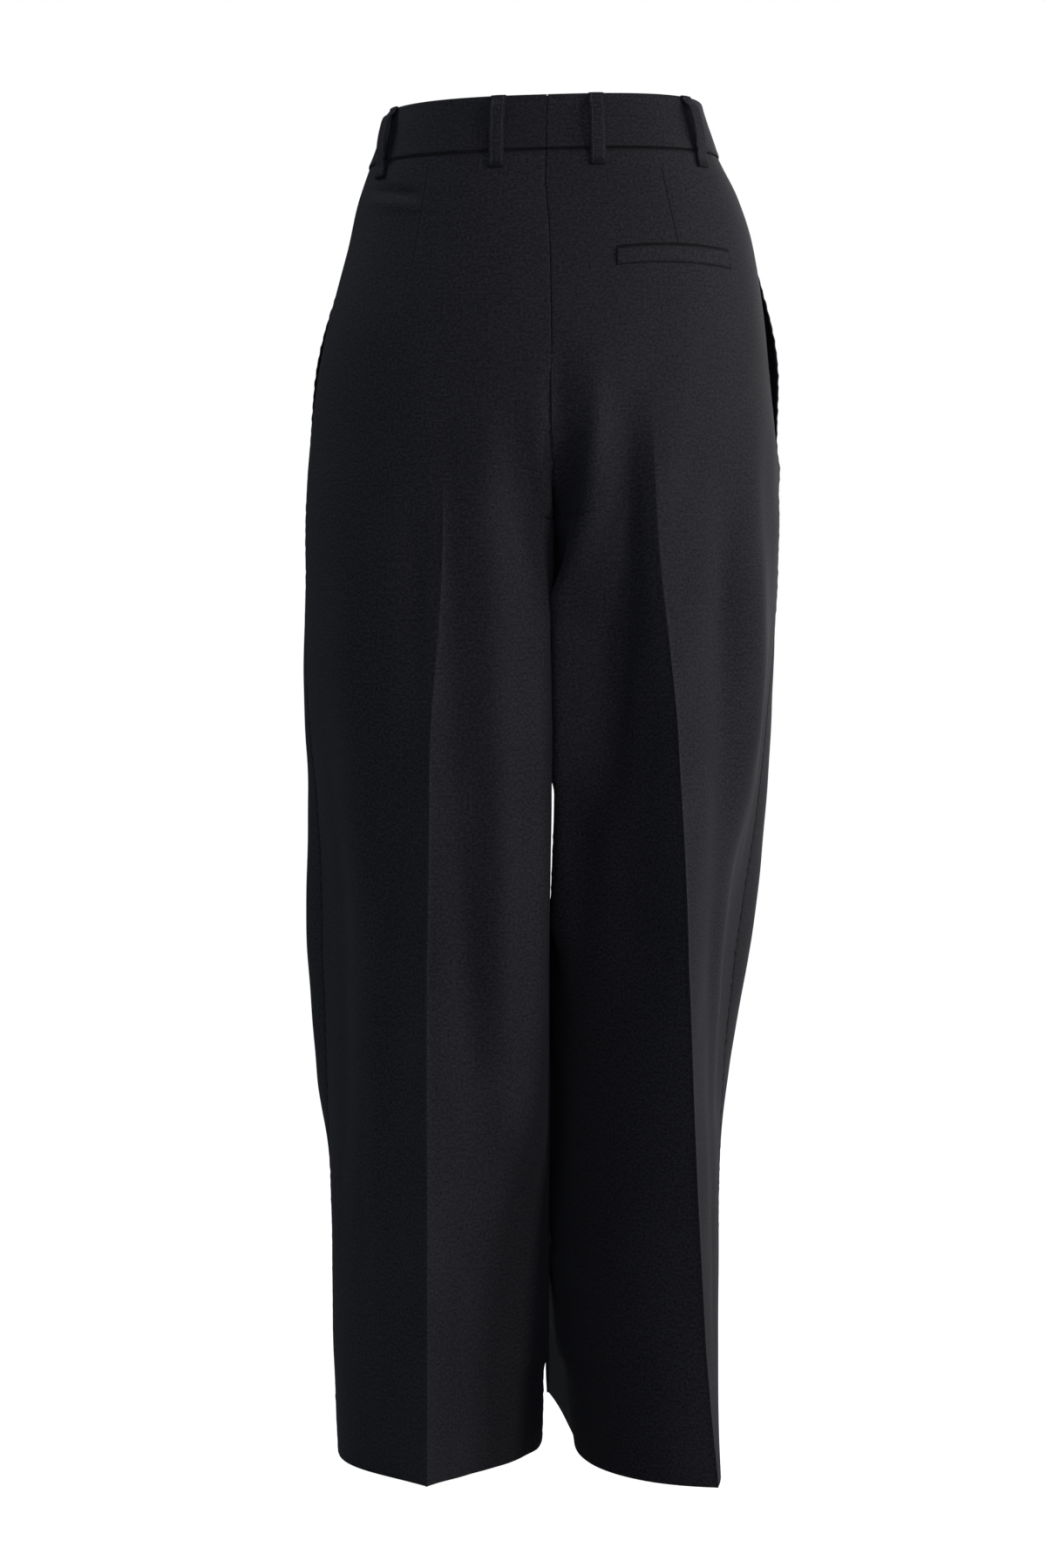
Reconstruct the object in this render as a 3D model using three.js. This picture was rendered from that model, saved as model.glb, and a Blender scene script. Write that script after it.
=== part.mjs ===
// Wide-leg palazzo trousers with a contoured waistband, belt loops, pressed creases, side pockets,
// one back welt pocket and a buttoned fly front, hollow and open at the waist and hems.
// Units are millimetres. +Z is up, -Y is the garment's front, +X is its left side.
// The origin is the middle of the waist opening, halfway up the waistband.
import * as THREE from "three";

// Driving sizes.
const BAND_HEIGHT = 44;
const CROTCH_Z = -310;
const HEM_Z = -1068;
const CLOTH = 1.8;
const BAND_CLOTH = 2.6;
const GAP = 0.3;
const HALF_GAP = GAP / 2;
const SEAM_Z = -BAND_HEIGHT / 2;

// Rows of numbers as objects with named columns.
const named = (columns, rows) =>
  rows.map((row) => Object.fromEntries(columns.map((key, i) => [key, row[i]])));

// Half-widths and depths of the waistband's outer face, with how square the section is: lower is squarer.
const BAND = [
  { z: 24, left: 128.5, right: 124, back: 93, front: 90, square: 0.76 },
  { z: 8, left: 133.5, right: 129.5, back: 97, front: 93.5, square: 0.76 },
  { z: -8, left: 138.5, right: 135.5, back: 101, front: 97, square: 0.77 },
  { z: -24, left: 144, right: 141, back: 105, front: 100, square: 0.78 },
];

// Half-widths and depths of the trunk, from the waist seam to where the legs have taken over.
const TRUNK = [
  { z: -10, left: 138, right: 135, back: 100.8, front: 96, square: 0.77 },
  { z: -22, left: 142.2, right: 139.4, back: 103.6, front: 98.6, square: 0.78 },
  { z: -55, left: 153, right: 155.5, back: 111, front: 103, square: 0.8 },
  { z: -90, left: 163.5, right: 164, back: 118, front: 107, square: 0.82 },
  { z: -125, left: 173.5, right: 169.5, back: 124, front: 110, square: 0.85 },
  { z: -160, left: 182.5, right: 173.5, back: 128, front: 113, square: 0.87 },
  { z: -200, left: 190, right: 176.5, back: 130.5, front: 115, square: 0.9 },
  { z: -250, left: 196, right: 181, back: 131, front: 117, square: 0.9 },
  { z: -310, left: 200, right: 184, back: 130, front: 119, square: 0.9 },
  { z: -480, left: 199, right: 180, back: 128, front: 124, square: 0.9 },
];

// The middle plane wanders a little to each side down the length, as the wearer's weight is on one leg.
const SWAY = [
  { z: 22, across: 0.8 },
  { z: -45, across: 2.4 },
  { z: -90, across: -0.9 },
  { z: -150, across: -2.2 },
  { z: -260, across: -3.2 },
  { z: -520, across: -2.8 },
  { z: -660, across: 0 },
];

// The waist tips down towards the left, less and less down to the hip.
const WAIST_TILT = 0.03;
const TILT_LOW_Z = -230;

// Sections of each leg, one row per height. Across values are distances from the middle plane, and
// along values run towards the back. dropIn and dropOut are the degrees by which the cloth falls away on
// each side of the back crease, frontIn and frontOut those of the front crease, belly is how far the
// front bulges outside the outseam, and full is how squarely the back turns into the inner thigh.
const LEG_COLUMNS = [
  "z", "seamAcross", "seamAlong", "creaseAcross", "creaseAlong", "dropIn", "dropOut",
  "frontAcross", "frontAlong", "frontIn", "frontOut", "inseamAcross", "inseamAlong", "belly",
  "full",
];
const LEG = {
  left: named(LEG_COLUMNS, [
    [-310, 199.5,   3,    83, 129,  4,  4,   88, -119,  6,  6,   0,  -5,  8,    0],
    [-400,   200,   0,    90, 127,  8, 12,   88, -123, 18, 18, 0.8,  -8, 18,  0.6],
    [-520,   192,  -6,  95.5, 128, 10, 24,   88, -126, 28, 28, 1.8, -15, 30,  0.9],
    [-640,   184, -10,  94.5, 130, 11, 32,   88, -128, 34, 34, 0.9, -22, 45, 0.95],
    [-760,   180, -12,  94.5, 132, 16, 39,   88, -130, 38, 38, 0.6, -30, 32, 0.85],
    [-850, 176.5, -10,    94, 134, 36, 44,   87, -132, 40, 40,   1, -40,  4,  0.4],
    [-960,   175,  -8,    94, 138, 52, 48,   86, -135, 42, 42, 2.2, -50,  0,  0.1],
    [-1068,  171,  -4,    94, 142, 60, 55,   85, -139, 42, 42,   5, -58,  0,    0],
  ]),
  right: named(LEG_COLUMNS, [
    [-310,   183,   3,    85, 129,  6,  8,   85, -120,  6,  6,   0,  -5,  8, 0],
    [-400,   180,  -2,  93.5, 128, 20, 26,   82, -130, 18, 16,   1, -12, 16, 0],
    [-520,   170, -10, 100.5, 127, 26, 42,   70, -146, 30, 22, 2.2, -25, 24, 0],
    [-640, 155.5, -15, 108.5, 127, 28, 56,   50, -163, 48, 26, 0.5, -52, 40, 0],
    [-760,   142, -15,   113, 127, 28, 65,   26, -178, 62, 28,  -1, -86, 25, 0],
    [-850, 138.5, -12,   117, 127, 26, 70,    9, -187, 72, 30,  -1, -98,  3, 0],
    [-960,   136,  -5, 122.5, 128, 14, 74, -1.5, -192, 78, 32,   7, -84,  0, 0],
    [-1068,  134,   4,   132, 130,  8, 79,   -1, -193, 78, 34,  21, -58,  0, 0],
  ]),
};

// Round the leg, 0 is the centre back or inseam, 1 the back crease, 2 the outseam, 3 the front crease
// and 4 the centre front or inseam again.
const OUTSEAM = 2;
const FRONT_CREASE = 3;
const ROUND = 4;

// Soft folds. Each runs from its top to its bottom place, with a height out of the cloth and a half-width
// in steps round the leg.
const FOLD_COLUMNS = ["leg", "topRound", "topZ", "lowRound", "lowZ", "height", "halfWidth"];
const FOLDS = named(FOLD_COLUMNS, [
  ["right", 0.62, -200, 0.42, -760, 5.5, 0.17],
  ["right", 0.84, -215, 0.72, -820, -5, 0.16],
  ["right", 1.5, -300, 1.5, -840, 4, 0.16],
  ["right", 1.78, -330, 1.76, -860, -3.5, 0.16],
  ["right", 2.55, -330, 2.5, -980, 6, 0.26],
  ["right", 3.45, -280, 3.5, -900, -5, 0.2],
  ["left", 1.2, -280, 1.16, -860, -3.5, 0.13],
  ["left", 1.5, -240, 1.42, -900, 4, 0.17],
  ["left", 0.7, -260, 0.6, -820, 3, 0.2],
  ["left", 2.5, -300, 2.45, -940, 5, 0.24],
  ["left", 3.4, -290, 3.45, -880, -4.5, 0.2],
]);
const FOLD_RAMP = 0.3;

// The trunk turns into the legs between these heights, and the seat and front seams curve under to the
// crotch.
const BLEND_TOP_Z = -200;
const BLEND_LOW_Z = -500;
const SEAT_CURVE_TOP_Z = -228;
const FRONT_CURVE_TOP_Z = -236;
const CURVE_REACH = 1.15;
const TRUNK_CREASE_SHARE = 0.0222;
const HANDLE = 0.5523;
const CREASE_HANDLE = 0.36;

// The hems ride up a little, the forward leg's most at its front.
const HEM_LIFT = {
  left: { all: 3, front: 3 },
  right: { all: 0, front: 22 },
};
const HEM_LIFT_HEIGHT = 320;

// Panels are grids of this many columns and rows.
const PANEL_COLUMNS = 16;
const TRUNK_ROWS = 13;
const LEG_ROWS = 21;

// Side pockets open in the outseam, with the front edge standing out.
const POCKET_TOP_Z = -92;
const POCKET_LOW_Z = -272;
const POCKET_STAND_OUT = { left: 3, right: 8 };
const POCKET_EASE_ROUND = 0.3;
const FACING = { topZ: -75, lowZ: -288, cloth: 1.2, gap: 0.5, backColumns: 1, frontColumns: 5 };

// The welt of the right back pocket, which bows up in the middle.
const WELT = { from: 52, to: 141.5, topZ: -100, height: 14, sag: 2.8, cloth: 1.2, columns: 10, rows: 2 };

// Fly front.
const FLY = { width: 34, bottomZ: -186, curveHeight: 38, cloth: 1.4, columns: 4, rows: 12 };
const SHIELD = { halfWidth: 26, bottomZ: -196, cloth: 1.2, columns: 8, rows: 10 };
const BAND_OVERLAP = { reach: 32, step: 3.1, rampFrom: 40, rampTo: 6 };
const BUTTON = { across: 15, radius: 8, thick: 2.4, rim: 0.5, holeRadius: 1.05, holeSpacing: 2.1 };

// Belt loops, with how far from the middle plane their tops and lower ends are.
const LOOP_WIDTH = 12;
const LOOPS = [
  { name: "belt_loop_back_left", side: "left", top: 38, low: 38.5 },
  { name: "belt_loop_back_right", side: "right", top: 38, low: 41.5 },
  { name: "belt_loop_side_left", side: "left", top: 121, low: 131 },
  { name: "belt_loop_side_right", side: "right", top: 109, low: 125 },
  { name: "belt_loop_front_left", side: "left", top: 62, low: 65, front: true },
  { name: "belt_loop_front_right", side: "right", top: 62, low: 65, front: true },
];
// From the top edge down: lift off the band or panel beneath, and the loop's own thickness.
const LOOP_PATH = [
  { z: 21.6, lift: 0.3, thick: 2.2 },
  { z: 18, lift: 0.5, thick: 2 },
  { z: 15, lift: 2.6, thick: 1.5 },
  { z: 11.5, lift: 5.2, thick: 1.4 },
  { z: 7, lift: 5.9, thick: 1.4 },
  { z: 0, lift: 6, thick: 1.4 },
  { z: -8, lift: 5.6, thick: 1.4 },
  { z: -15, lift: 4.6, thick: 1.4 },
  { z: -20.5, lift: 3, thick: 1.4 },
  { z: -24, lift: 2.8, thick: 1.5 },
  { z: -28, lift: 1, thick: 2 },
  { z: -31, lift: 0.35, thick: 2.4 },
  { z: -36.5, lift: 0.35, thick: 2.4 },
];

const SIDE_SIGN = { left: 1, right: -1 };
const clamp01 = (x) => Math.min(1, Math.max(0, x));
const smooth = (x) => clamp01(x) ** 2 * (3 - 2 * clamp01(x));
const mix = (a, b, t) => a + (b - a) * t;
const radians = THREE.MathUtils.degToRad;

// A smooth value of one named column at height z, with no overshoot between rows.
function column(rows, key, z) {
  const last = rows.length - 1;
  if (z >= rows[0].z) return rows[0][key];
  if (z <= rows[last].z) return rows[last][key];
  let i = 0;
  while (rows[i + 1].z > z) i += 1;
  const slope = (k) => (rows[k + 1][key] - rows[k][key]) / (rows[k + 1].z - rows[k].z);
  const tangent = (k) => {
    if (k === 0) return slope(0);
    if (k === last) return slope(last - 1);
    const [before, after] = [slope(k - 1), slope(k)];
    return before * after <= 0 ? 0 : (2 * before * after) / (before + after);
  };
  const step = rows[i + 1].z - rows[i].z;
  const t = (z - rows[i].z) / step;
  const [a, b] = [rows[i][key], rows[i + 1][key]];
  const [ta, tb] = [tangent(i) * step, tangent(i + 1) * step];
  return (
    a * (1 + 2 * t) * (1 - t) ** 2 + ta * t * (1 - t) ** 2 + b * t * t * (3 - 2 * t) + tb * t * t * (t - 1)
  );
}

// A point of an oval section: across from the middle plane, and along towards the back.
function ovalPoint(rows, side, round, z) {
  const fromBack = round <= OUTSEAM;
  const share = fromBack ? round / 2 : (ROUND - round) / 2;
  const turn = (Math.PI / 2) * (TRUNK_CREASE_SHARE * share + (1 - TRUNK_CREASE_SHARE) * share * share);
  const square = column(rows, "square", z);
  const across = column(rows, side, z) * Math.sin(turn) ** square;
  const depth = column(rows, fromBack ? "back" : "front", z);
  const along = depth * Math.max(0, Math.cos(turn)) ** square;
  return new THREE.Vector2(across, fromBack ? along : -along);
}

// A point of a leg's section: four curves that meet at the inseam, creases and outseam.
function legPoint(side, round, z) {
  const value = (key) => column(LEG[side], key, z);
  const inseam = new THREE.Vector2(value("inseamAcross"), value("inseamAlong"));
  const outseam = new THREE.Vector2(value("seamAcross"), value("seamAlong"));
  const crease = new THREE.Vector2(value("creaseAcross"), value("creaseAlong"));
  const front = new THREE.Vector2(value("frontAcross"), value("frontAlong"));
  const belly = value("belly");
  const beside = (tip, foot, drop, towards, full = 0) => {
    const reach = mix(CREASE_HANDLE * tip.distanceTo(foot), Math.abs(tip.x - foot.x), full);
    const angle = radians(drop);
    return new THREE.Vector2(
      tip.x + Math.sign(foot.x - tip.x) * reach * Math.cos(angle),
      tip.y + towards * reach * Math.sin(angle),
    );
  };
  const upright = (foot, tip, lean, full = 0) =>
    new THREE.Vector2(foot.x + lean, foot.y + mix(HANDLE - 0.1, 1, full) * (tip.y - foot.y));
  const full = value("full");
  const innerBack = [
    upright(inseam, crease, 0, full),
    beside(crease, inseam, value("dropIn"), -1, full),
  ];
  const quarter = Math.min(3, Math.floor(round));
  const curves = [
    [inseam, ...innerBack, crease],
    [crease, beside(crease, outseam, value("dropOut"), -1), upright(outseam, crease, -belly / 2), outseam],
    [outseam, upright(outseam, front, belly), beside(front, outseam, value("frontOut"), 1), front],
    [front, beside(front, inseam, value("frontIn"), 1), upright(inseam, front, 0), inseam],
  ];
  return new THREE.CubicBezierCurve(...curves[quarter]).getPoint(round - quarter);
}

// How far a point has turned from trunk to leg, from 0 to 1. At the seams it follows a quarter round.
function legShare(round, z) {
  const fromEdge = Math.min(round, ROUND - round);
  const away = smooth(fromEdge / CURVE_REACH);
  const top = mix(round < OUTSEAM ? SEAT_CURVE_TOP_Z : FRONT_CURVE_TOP_Z, BLEND_TOP_Z, away);
  const low = mix(CROTCH_Z, BLEND_LOW_Z, away);
  const down = clamp01((top - z) / (top - low));
  return mix(1 - Math.sqrt(1 - down * down), smooth(down), smooth(fromEdge / 0.6));
}

// Round values pass through the inseam below the crotch, and stop at the centre seams above it.
function wrapped(round, z) {
  return z <= CROTCH_Z ? (round + ROUND) % ROUND : Math.min(ROUND, Math.max(0, round));
}

// How far the hem's ride-up moves a point, fading out above the hem.
function hemLift(side, round, z) {
  const forward = Math.sin(Math.PI * clamp01((round - 1.4) / (ROUND - 1.4))) ** 2;
  const { all, front } = HEM_LIFT[side];
  return (all + front * forward) * smooth((HEM_Z + HEM_LIFT_HEIGHT - z) / HEM_LIFT_HEIGHT);
}

// A section's point placed in the garment, with its sway and the tip of the waist.
function placed(x, y, z) {
  const tilt = WAIST_TILT * smooth((z - TILT_LOW_Z) / (SEAM_Z - TILT_LOW_Z));
  return new THREE.Vector3(x + column(SWAY, "across", z), y, z - tilt * x);
}

function plainBody(side, roundValue, z) {
  const round = wrapped(roundValue, z);
  const flat = ovalPoint(TRUNK, side, round, z).lerp(legPoint(side, round, z), legShare(round, z));
  return placed(SIDE_SIGN[side] * (HALF_GAP + flat.x), flat.y, z + hemLift(side, round, z));
}

// The outward direction of a surface, from points a little to each side.
function outward(surface, side, round, z) {
  const roundStep = 0.01;
  const heightStep = 1.5;
  const lowest = Math.max(HEM_Z, z - heightStep);
  const across = surface(side, round + roundStep, z).sub(surface(side, round - roundStep, z));
  const up = surface(side, round, z + heightStep).sub(surface(side, round, lowest));
  const normal = across.cross(up).normalize();
  return side === "left" ? normal.negate() : normal;
}

function foldHeight(side, round, z) {
  let height = 0;
  for (const fold of FOLDS) {
    if (fold.leg !== side || z > fold.topZ || z < fold.lowZ) continue;
    const down = (fold.topZ - z) / (fold.topZ - fold.lowZ);
    const centre = mix(fold.topRound, fold.lowRound, down);
    const ends = smooth(down / FOLD_RAMP) * smooth((1 - down) / FOLD_RAMP);
    height += fold.height * ends * Math.exp(-(((round - centre) / fold.halfWidth) ** 2));
  }
  return height;
}

// The trousers' outer face, with its folds.
function body(side, round, z) {
  const height = foldHeight(side, wrapped(round, z), z);
  const point = plainBody(side, round, z);
  return height === 0 ? point : point.addScaledVector(outward(plainBody, side, round, z), height);
}

// The front's outer face, whose edge stands out along the pocket.
function frontBody(side, round, z) {
  const along = clamp01((POCKET_TOP_Z - z) / (POCKET_TOP_Z - POCKET_LOW_Z));
  const near = 1 - smooth((round - OUTSEAM) / POCKET_EASE_ROUND);
  const standOut = POCKET_STAND_OUT[side] * Math.sin(Math.PI * along) ** 2 * near;
  return body(side, round, z).addScaledVector(outward(plainBody, side, round, z), standOut);
}

function bandFace(side, round, z) {
  const across = round > ROUND ? 2 * ROUND - round : Math.abs(round);
  const crossed = round > ROUND || round < 0 ? -1 : 1;
  const other = side === "left" ? "right" : "left";
  const flat = ovalPoint(BAND, crossed < 0 ? other : side, across, z);
  return placed(SIDE_SIGN[side] * crossed * (HALF_GAP + flat.x), flat.y, z);
}

// How far a point is from the middle plane, whichever way the plane has swayed.
const fromMiddle = (point) => Math.abs(point.x - column(SWAY, "across", point.z));

// A point moved off a surface, outwards or, below zero, inwards.
function lifted(surface, side, round, z, distance) {
  return surface(side, round, z).addScaledVector(outward(surface, side, round, z), distance);
}

// The round value at which a surface lies a given distance from the middle plane.
function roundAt(surface, side, across, z, front) {
  let [near, far] = front ? [ROUND, OUTSEAM] : [0, OUTSEAM];
  for (let i = 0; i < 40; i += 1) {
    const middle = (near + far) / 2;
    if (fromMiddle(surface(side, middle, z)) < across) near = middle;
    else far = middle;
  }
  return (near + far) / 2;
}

// The round value a short way along a surface from a seam.
function besideSeam(surface, side, round, z, distance) {
  const step = 0.004;
  const inner = round === 0 || round === OUTSEAM ? step : -step;
  const away = distance > 0 ? Math.abs(inner) : -Math.abs(inner);
  const length = surface(side, round, z).distanceTo(surface(side, round + away, z));
  return round + (away * Math.abs(distance)) / Math.max(length, 1e-6);
}

// A closed wall from two grids of points: the face and, behind it, the back.
function wall(face, back) {
  const rows = face.length;
  const columns = face[0].length;
  const points = [...face.flat(), ...back.flat()];
  const at = (layer, row, col) => layer * rows * columns + row * columns + col;
  const index = [];
  const quad = (a, b, c, d) => index.push(a, b, c, a, c, d);
  for (let r = 0; r + 1 < rows; r += 1) {
    for (let c = 0; c + 1 < columns; c += 1) {
      quad(at(0, r, c), at(0, r, c + 1), at(0, r + 1, c + 1), at(0, r + 1, c));
      quad(at(1, r, c), at(1, r + 1, c), at(1, r + 1, c + 1), at(1, r, c + 1));
    }
  }
  const lastRow = rows - 1;
  const lastColumn = columns - 1;
  for (let c = 0; c < lastColumn; c += 1) {
    quad(at(0, 0, c), at(1, 0, c), at(1, 0, c + 1), at(0, 0, c + 1));
    quad(at(0, lastRow, c), at(0, lastRow, c + 1), at(1, lastRow, c + 1), at(1, lastRow, c));
  }
  for (let r = 0; r < lastRow; r += 1) {
    quad(at(0, r, 0), at(0, r + 1, 0), at(1, r + 1, 0), at(1, r, 0));
    quad(at(0, r, lastColumn), at(1, r, lastColumn), at(1, r + 1, lastColumn), at(0, r + 1, lastColumn));
  }
  const geometry = new THREE.BufferGeometry().setFromPoints(points);
  geometry.setIndex(turnedOut(points, index));
  geometry.computeVertexNormals();
  return geometry;
}

// The same triangles, turned round where they enclose a negative volume.
function turnedOut(points, index) {
  let volume = 0;
  for (let i = 0; i < index.length; i += 3) {
    const [a, b, c] = [points[index[i]], points[index[i + 1]], points[index[i + 2]]];
    volume += a.dot(new THREE.Vector3().crossVectors(b, c));
  }
  if (volume > 0) return index;
  const turned = [];
  for (let i = 0; i < index.length; i += 3) turned.push(index[i], index[i + 2], index[i + 1]);
  return turned;
}

// Evenly spaced values from one number to another, both included.
const spread = (from, to, steps) => Array.from({ length: steps + 1 }, (_, i) => mix(from, to, i / steps));

// The heights of a panel's rows, closer together where the seams curve under to the crotch.
const PANEL_HEIGHTS = [
  ...spread(0, 1, TRUNK_ROWS).map((t) => mix(SEAM_Z - GAP, CROTCH_Z, 1 - (1 - t) ** 1.5)),
  ...spread(0, 1, LEG_ROWS).slice(1).map((t) => mix(CROTCH_Z, HEM_Z, t ** 1.15)),
];

const clothMaterial = new THREE.MeshStandardMaterial({ color: 0x2a2a2e, roughness: 0.85, metalness: 0 });
const trimMaterial = new THREE.MeshStandardMaterial({ color: 0x26262a, roughness: 0.85, metalness: 0 });
const pocketMaterial = new THREE.MeshStandardMaterial({ color: 0x1c1c20, roughness: 0.9, metalness: 0 });
const buttonMaterial = new THREE.MeshStandardMaterial({ color: 0x151517, roughness: 0.4, metalness: 0 });

function piece(name, geometry, material) {
  const mesh = new THREE.Mesh(geometry, material);
  mesh.name = name;
  return mesh;
}

// Keeps a trunk wall's inner corners on their own side of the middle plane.
function keptToSide(point, side, z) {
  if (z < CROTCH_Z) return point;
  const sign = SIDE_SIGN[side];
  const sway = column(SWAY, "across", z);
  point.x = sway + sign * Math.max(HALF_GAP, sign * (point.x - sway));
  return point;
}

function legPanel(side, end) {
  const surface = end === "back" ? body : frontBody;
  const [first, last] = end === "back" ? [0, OUTSEAM] : [OUTSEAM, ROUND];
  const face = [];
  const back = [];
  for (const z of PANEL_HEIGHTS) {
    const from = besideSeam(surface, side, first, z, HALF_GAP);
    const to = besideSeam(surface, side, last, z, -HALF_GAP);
    const places = spread(from, to, PANEL_COLUMNS);
    face.push(places.map((round) => keptToSide(surface(side, round, z), side, z)));
    back.push(places.map((round) => keptToSide(lifted(surface, side, round, z, -CLOTH), side, z)));
  }
  return piece(`${end}_${side}`, wall(face, back), clothMaterial);
}

// How far the right end of the waistband steps out to pass over the left end.
function overlapStep(side, round, z) {
  if (side === "left" || round < FRONT_CREASE) return 0;
  const across = fromMiddle(bandFace(side, round, z)) * (round > ROUND ? -1 : 1);
  const { step, rampFrom, rampTo } = BAND_OVERLAP;
  return step * smooth((rampFrom - across) / (rampFrom - rampTo));
}

// The waistband's columns line up with the panels' columns, and its rims are level.
function bandPanel(side) {
  const face = [];
  const back = [];
  const columnStep = OUTSEAM / PANEL_COLUMNS;
  const overrun = roundAt(bandFace, "left", BAND_OVERLAP.reach, 0, true);
  const pastFront = spread(ROUND, 2 * ROUND - overrun, 4).slice(1);
  for (const z of spread(-SEAM_Z, SEAM_Z, 3)) {
    const places = spread(0, ROUND, ROUND / columnStep);
    places[0] = besideSeam(bandFace, side, 0, z, HALF_GAP);
    if (side === "left") places[places.length - 1] -= 0.01;
    else places.push(...pastFront);
    const wallAt = (round, inset) => {
      const point = lifted(bandFace, side, round, z, overlapStep(side, round, z) - inset);
      point.z = bandFace(side, round, z).z;
      return point;
    };
    face.push(places.map((round) => wallAt(round, 0)));
    back.push(places.map((round) => wallAt(round, BAND_CLOTH)));
  }
  return piece(`waistband_${side}`, wall(face, back), clothMaterial);
}

function beltLoop({ name, side, top, low, front }) {
  const face = [];
  const back = [];
  const [highest, lowest] = [LOOP_PATH[0].z, LOOP_PATH[LOOP_PATH.length - 1].z];
  for (const { z, lift, thick } of LOOP_PATH) {
    const surface = z > SEAM_Z ? bandFace : body;
    const across = mix(top, low, (highest - z) / (highest - lowest));
    const middle = roundAt(surface, side, across, z, front);
    const length = surface(side, middle - 0.01, z).distanceTo(surface(side, middle + 0.01, z)) / 0.02;
    const places = spread(middle - LOOP_WIDTH / 2 / length, middle + LOOP_WIDTH / 2 / length, 2);
    face.push(places.map((round) => lifted(surface, side, round, z, lift + thick)));
    back.push(places.map((round) => lifted(surface, side, round, z, lift)));
  }
  return piece(name, wall(face, back), trimMaterial);
}

// The fly's turned edge on the right front, squared at the top and curved in to the seam at the bottom.
function flyPlacket() {
  const face = [];
  const back = [];
  for (const z of spread(SEAM_Z - GAP, FLY.bottomZ, FLY.rows)) {
    const intoCurve = clamp01((FLY.bottomZ + FLY.curveHeight - z) / FLY.curveHeight);
    const width = FLY.width * Math.max(0.12, Math.sqrt(1 - intoCurve * intoCurve));
    const from = besideSeam(body, "right", ROUND, z, -HALF_GAP);
    const places = spread(from, roundAt(body, "right", width, z, true), FLY.columns);
    const offBody = (round, distance) => keptToSide(lifted(body, "right", round, z, distance), "right", z);
    face.push(places.map((round) => offBody(round, GAP + FLY.cloth)));
    back.push(places.map((round) => offBody(round, GAP)));
  }
  return piece("fly_placket", wall(face, back), trimMaterial);
}

// The shield behind the fly, which crosses the centre front inside both front panels.
function flyShield() {
  const face = [];
  const back = [];
  for (const z of spread(SEAM_Z - 3, SHIELD.bottomZ, SHIELD.rows)) {
    const points = spread(-SHIELD.halfWidth, SHIELD.halfWidth, SHIELD.columns).map((across) => {
      const side = across < 0 ? "right" : "left";
      const round = roundAt(body, side, Math.max(GAP, Math.abs(across)), z, true);
      return [side, round, across];
    });
    const depth = (inset) =>
      points.map(([side, round, across]) => {
        const point = lifted(body, side, round, z, -inset);
        if (across === 0) point.x = column(SWAY, "across", z);
        return point;
      });
    face.push(depth(CLOTH + GAP));
    back.push(depth(CLOTH + GAP + SHIELD.cloth));
  }
  return piece("fly_shield", wall(face, back), pocketMaterial);
}

// The pocket's facing, which lies inside the outseam behind the pocket's mouth, on the panels' own grid.
function pocketFacing(side) {
  const face = [];
  const back = [];
  const inset = CLOTH + FACING.gap;
  const columnStep = OUTSEAM / PANEL_COLUMNS;
  const columns = spread(-FACING.backColumns, FACING.frontColumns, FACING.backColumns + FACING.frontColumns);
  for (const z of PANEL_HEIGHTS.filter((height) => height < FACING.topZ && height > FACING.lowZ)) {
    const places = columns.map((step) => OUTSEAM + step * columnStep);
    face.push(places.map((round) => lifted(body, side, round, z, -inset)));
    back.push(places.map((round) => lifted(body, side, round, z, -inset - FACING.cloth)));
  }
  return piece(`side_pocket_facing_${side}`, wall(face, back), pocketMaterial);
}

function backWelt() {
  const face = [];
  const back = [];
  const ends = [WELT.from, WELT.to].map((across) => roundAt(body, "right", across, WELT.topZ, false));
  const places = spread(...ends, WELT.columns);
  for (const down of spread(0, WELT.height, WELT.rows)) {
    const height = (round) => {
      const toEnd = (2 * (round - ends[0])) / (ends[1] - ends[0]) - 1;
      return WELT.topZ - down - WELT.sag * toEnd * toEnd;
    };
    face.push(places.map((round) => lifted(body, "right", round, height(round), GAP + WELT.cloth)));
    back.push(places.map((round) => lifted(body, "right", round, height(round), GAP)));
  }
  return piece("back_pocket_welt", wall(face, back), trimMaterial);
}

// A four-hole button on the waistband's front overlap.
function flyButton() {
  const disc = new THREE.Shape().absarc(0, 0, BUTTON.radius - BUTTON.rim, 0, 2 * Math.PI);
  for (const [x, y] of [[-1, -1], [-1, 1], [1, -1], [1, 1]]) {
    const hole = new THREE.Path();
    const [holeX, holeY] = [(x * BUTTON.holeSpacing) / 2, (y * BUTTON.holeSpacing) / 2];
    hole.absarc(holeX, holeY, BUTTON.holeRadius - 0.35, 0, 2 * Math.PI);
    disc.holes.push(hole);
  }
  const geometry = new THREE.ExtrudeGeometry(disc, {
    depth: BUTTON.thick - 2 * BUTTON.rim,
    bevelThickness: BUTTON.rim,
    bevelSize: BUTTON.rim,
    bevelSegments: 2,
    curveSegments: 10,
  });
  const round = 2 * ROUND - roundAt(bandFace, "left", BUTTON.across, 0, true);
  const normal = outward(bandFace, "right", round, 0);
  const seat = BAND_OVERLAP.step + GAP + BUTTON.rim + 0.25;
  const button = piece("waistband_button", geometry, buttonMaterial);
  button.position.copy(bandFace("right", round, 0)).addScaledVector(normal, seat);
  button.quaternion.setFromUnitVectors(new THREE.Vector3(0, 0, 1), normal);
  return button;
}

const trousers = new THREE.Group();
trousers.name = "palazzo_trousers";
for (const side of ["left", "right"]) {
  trousers.add(legPanel(side, "back"), legPanel(side, "front"), bandPanel(side), pocketFacing(side));
}
trousers.add(...LOOPS.map(beltLoop), backWelt(), flyPlacket(), flyShield(), flyButton());

export default trousers;
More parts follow.
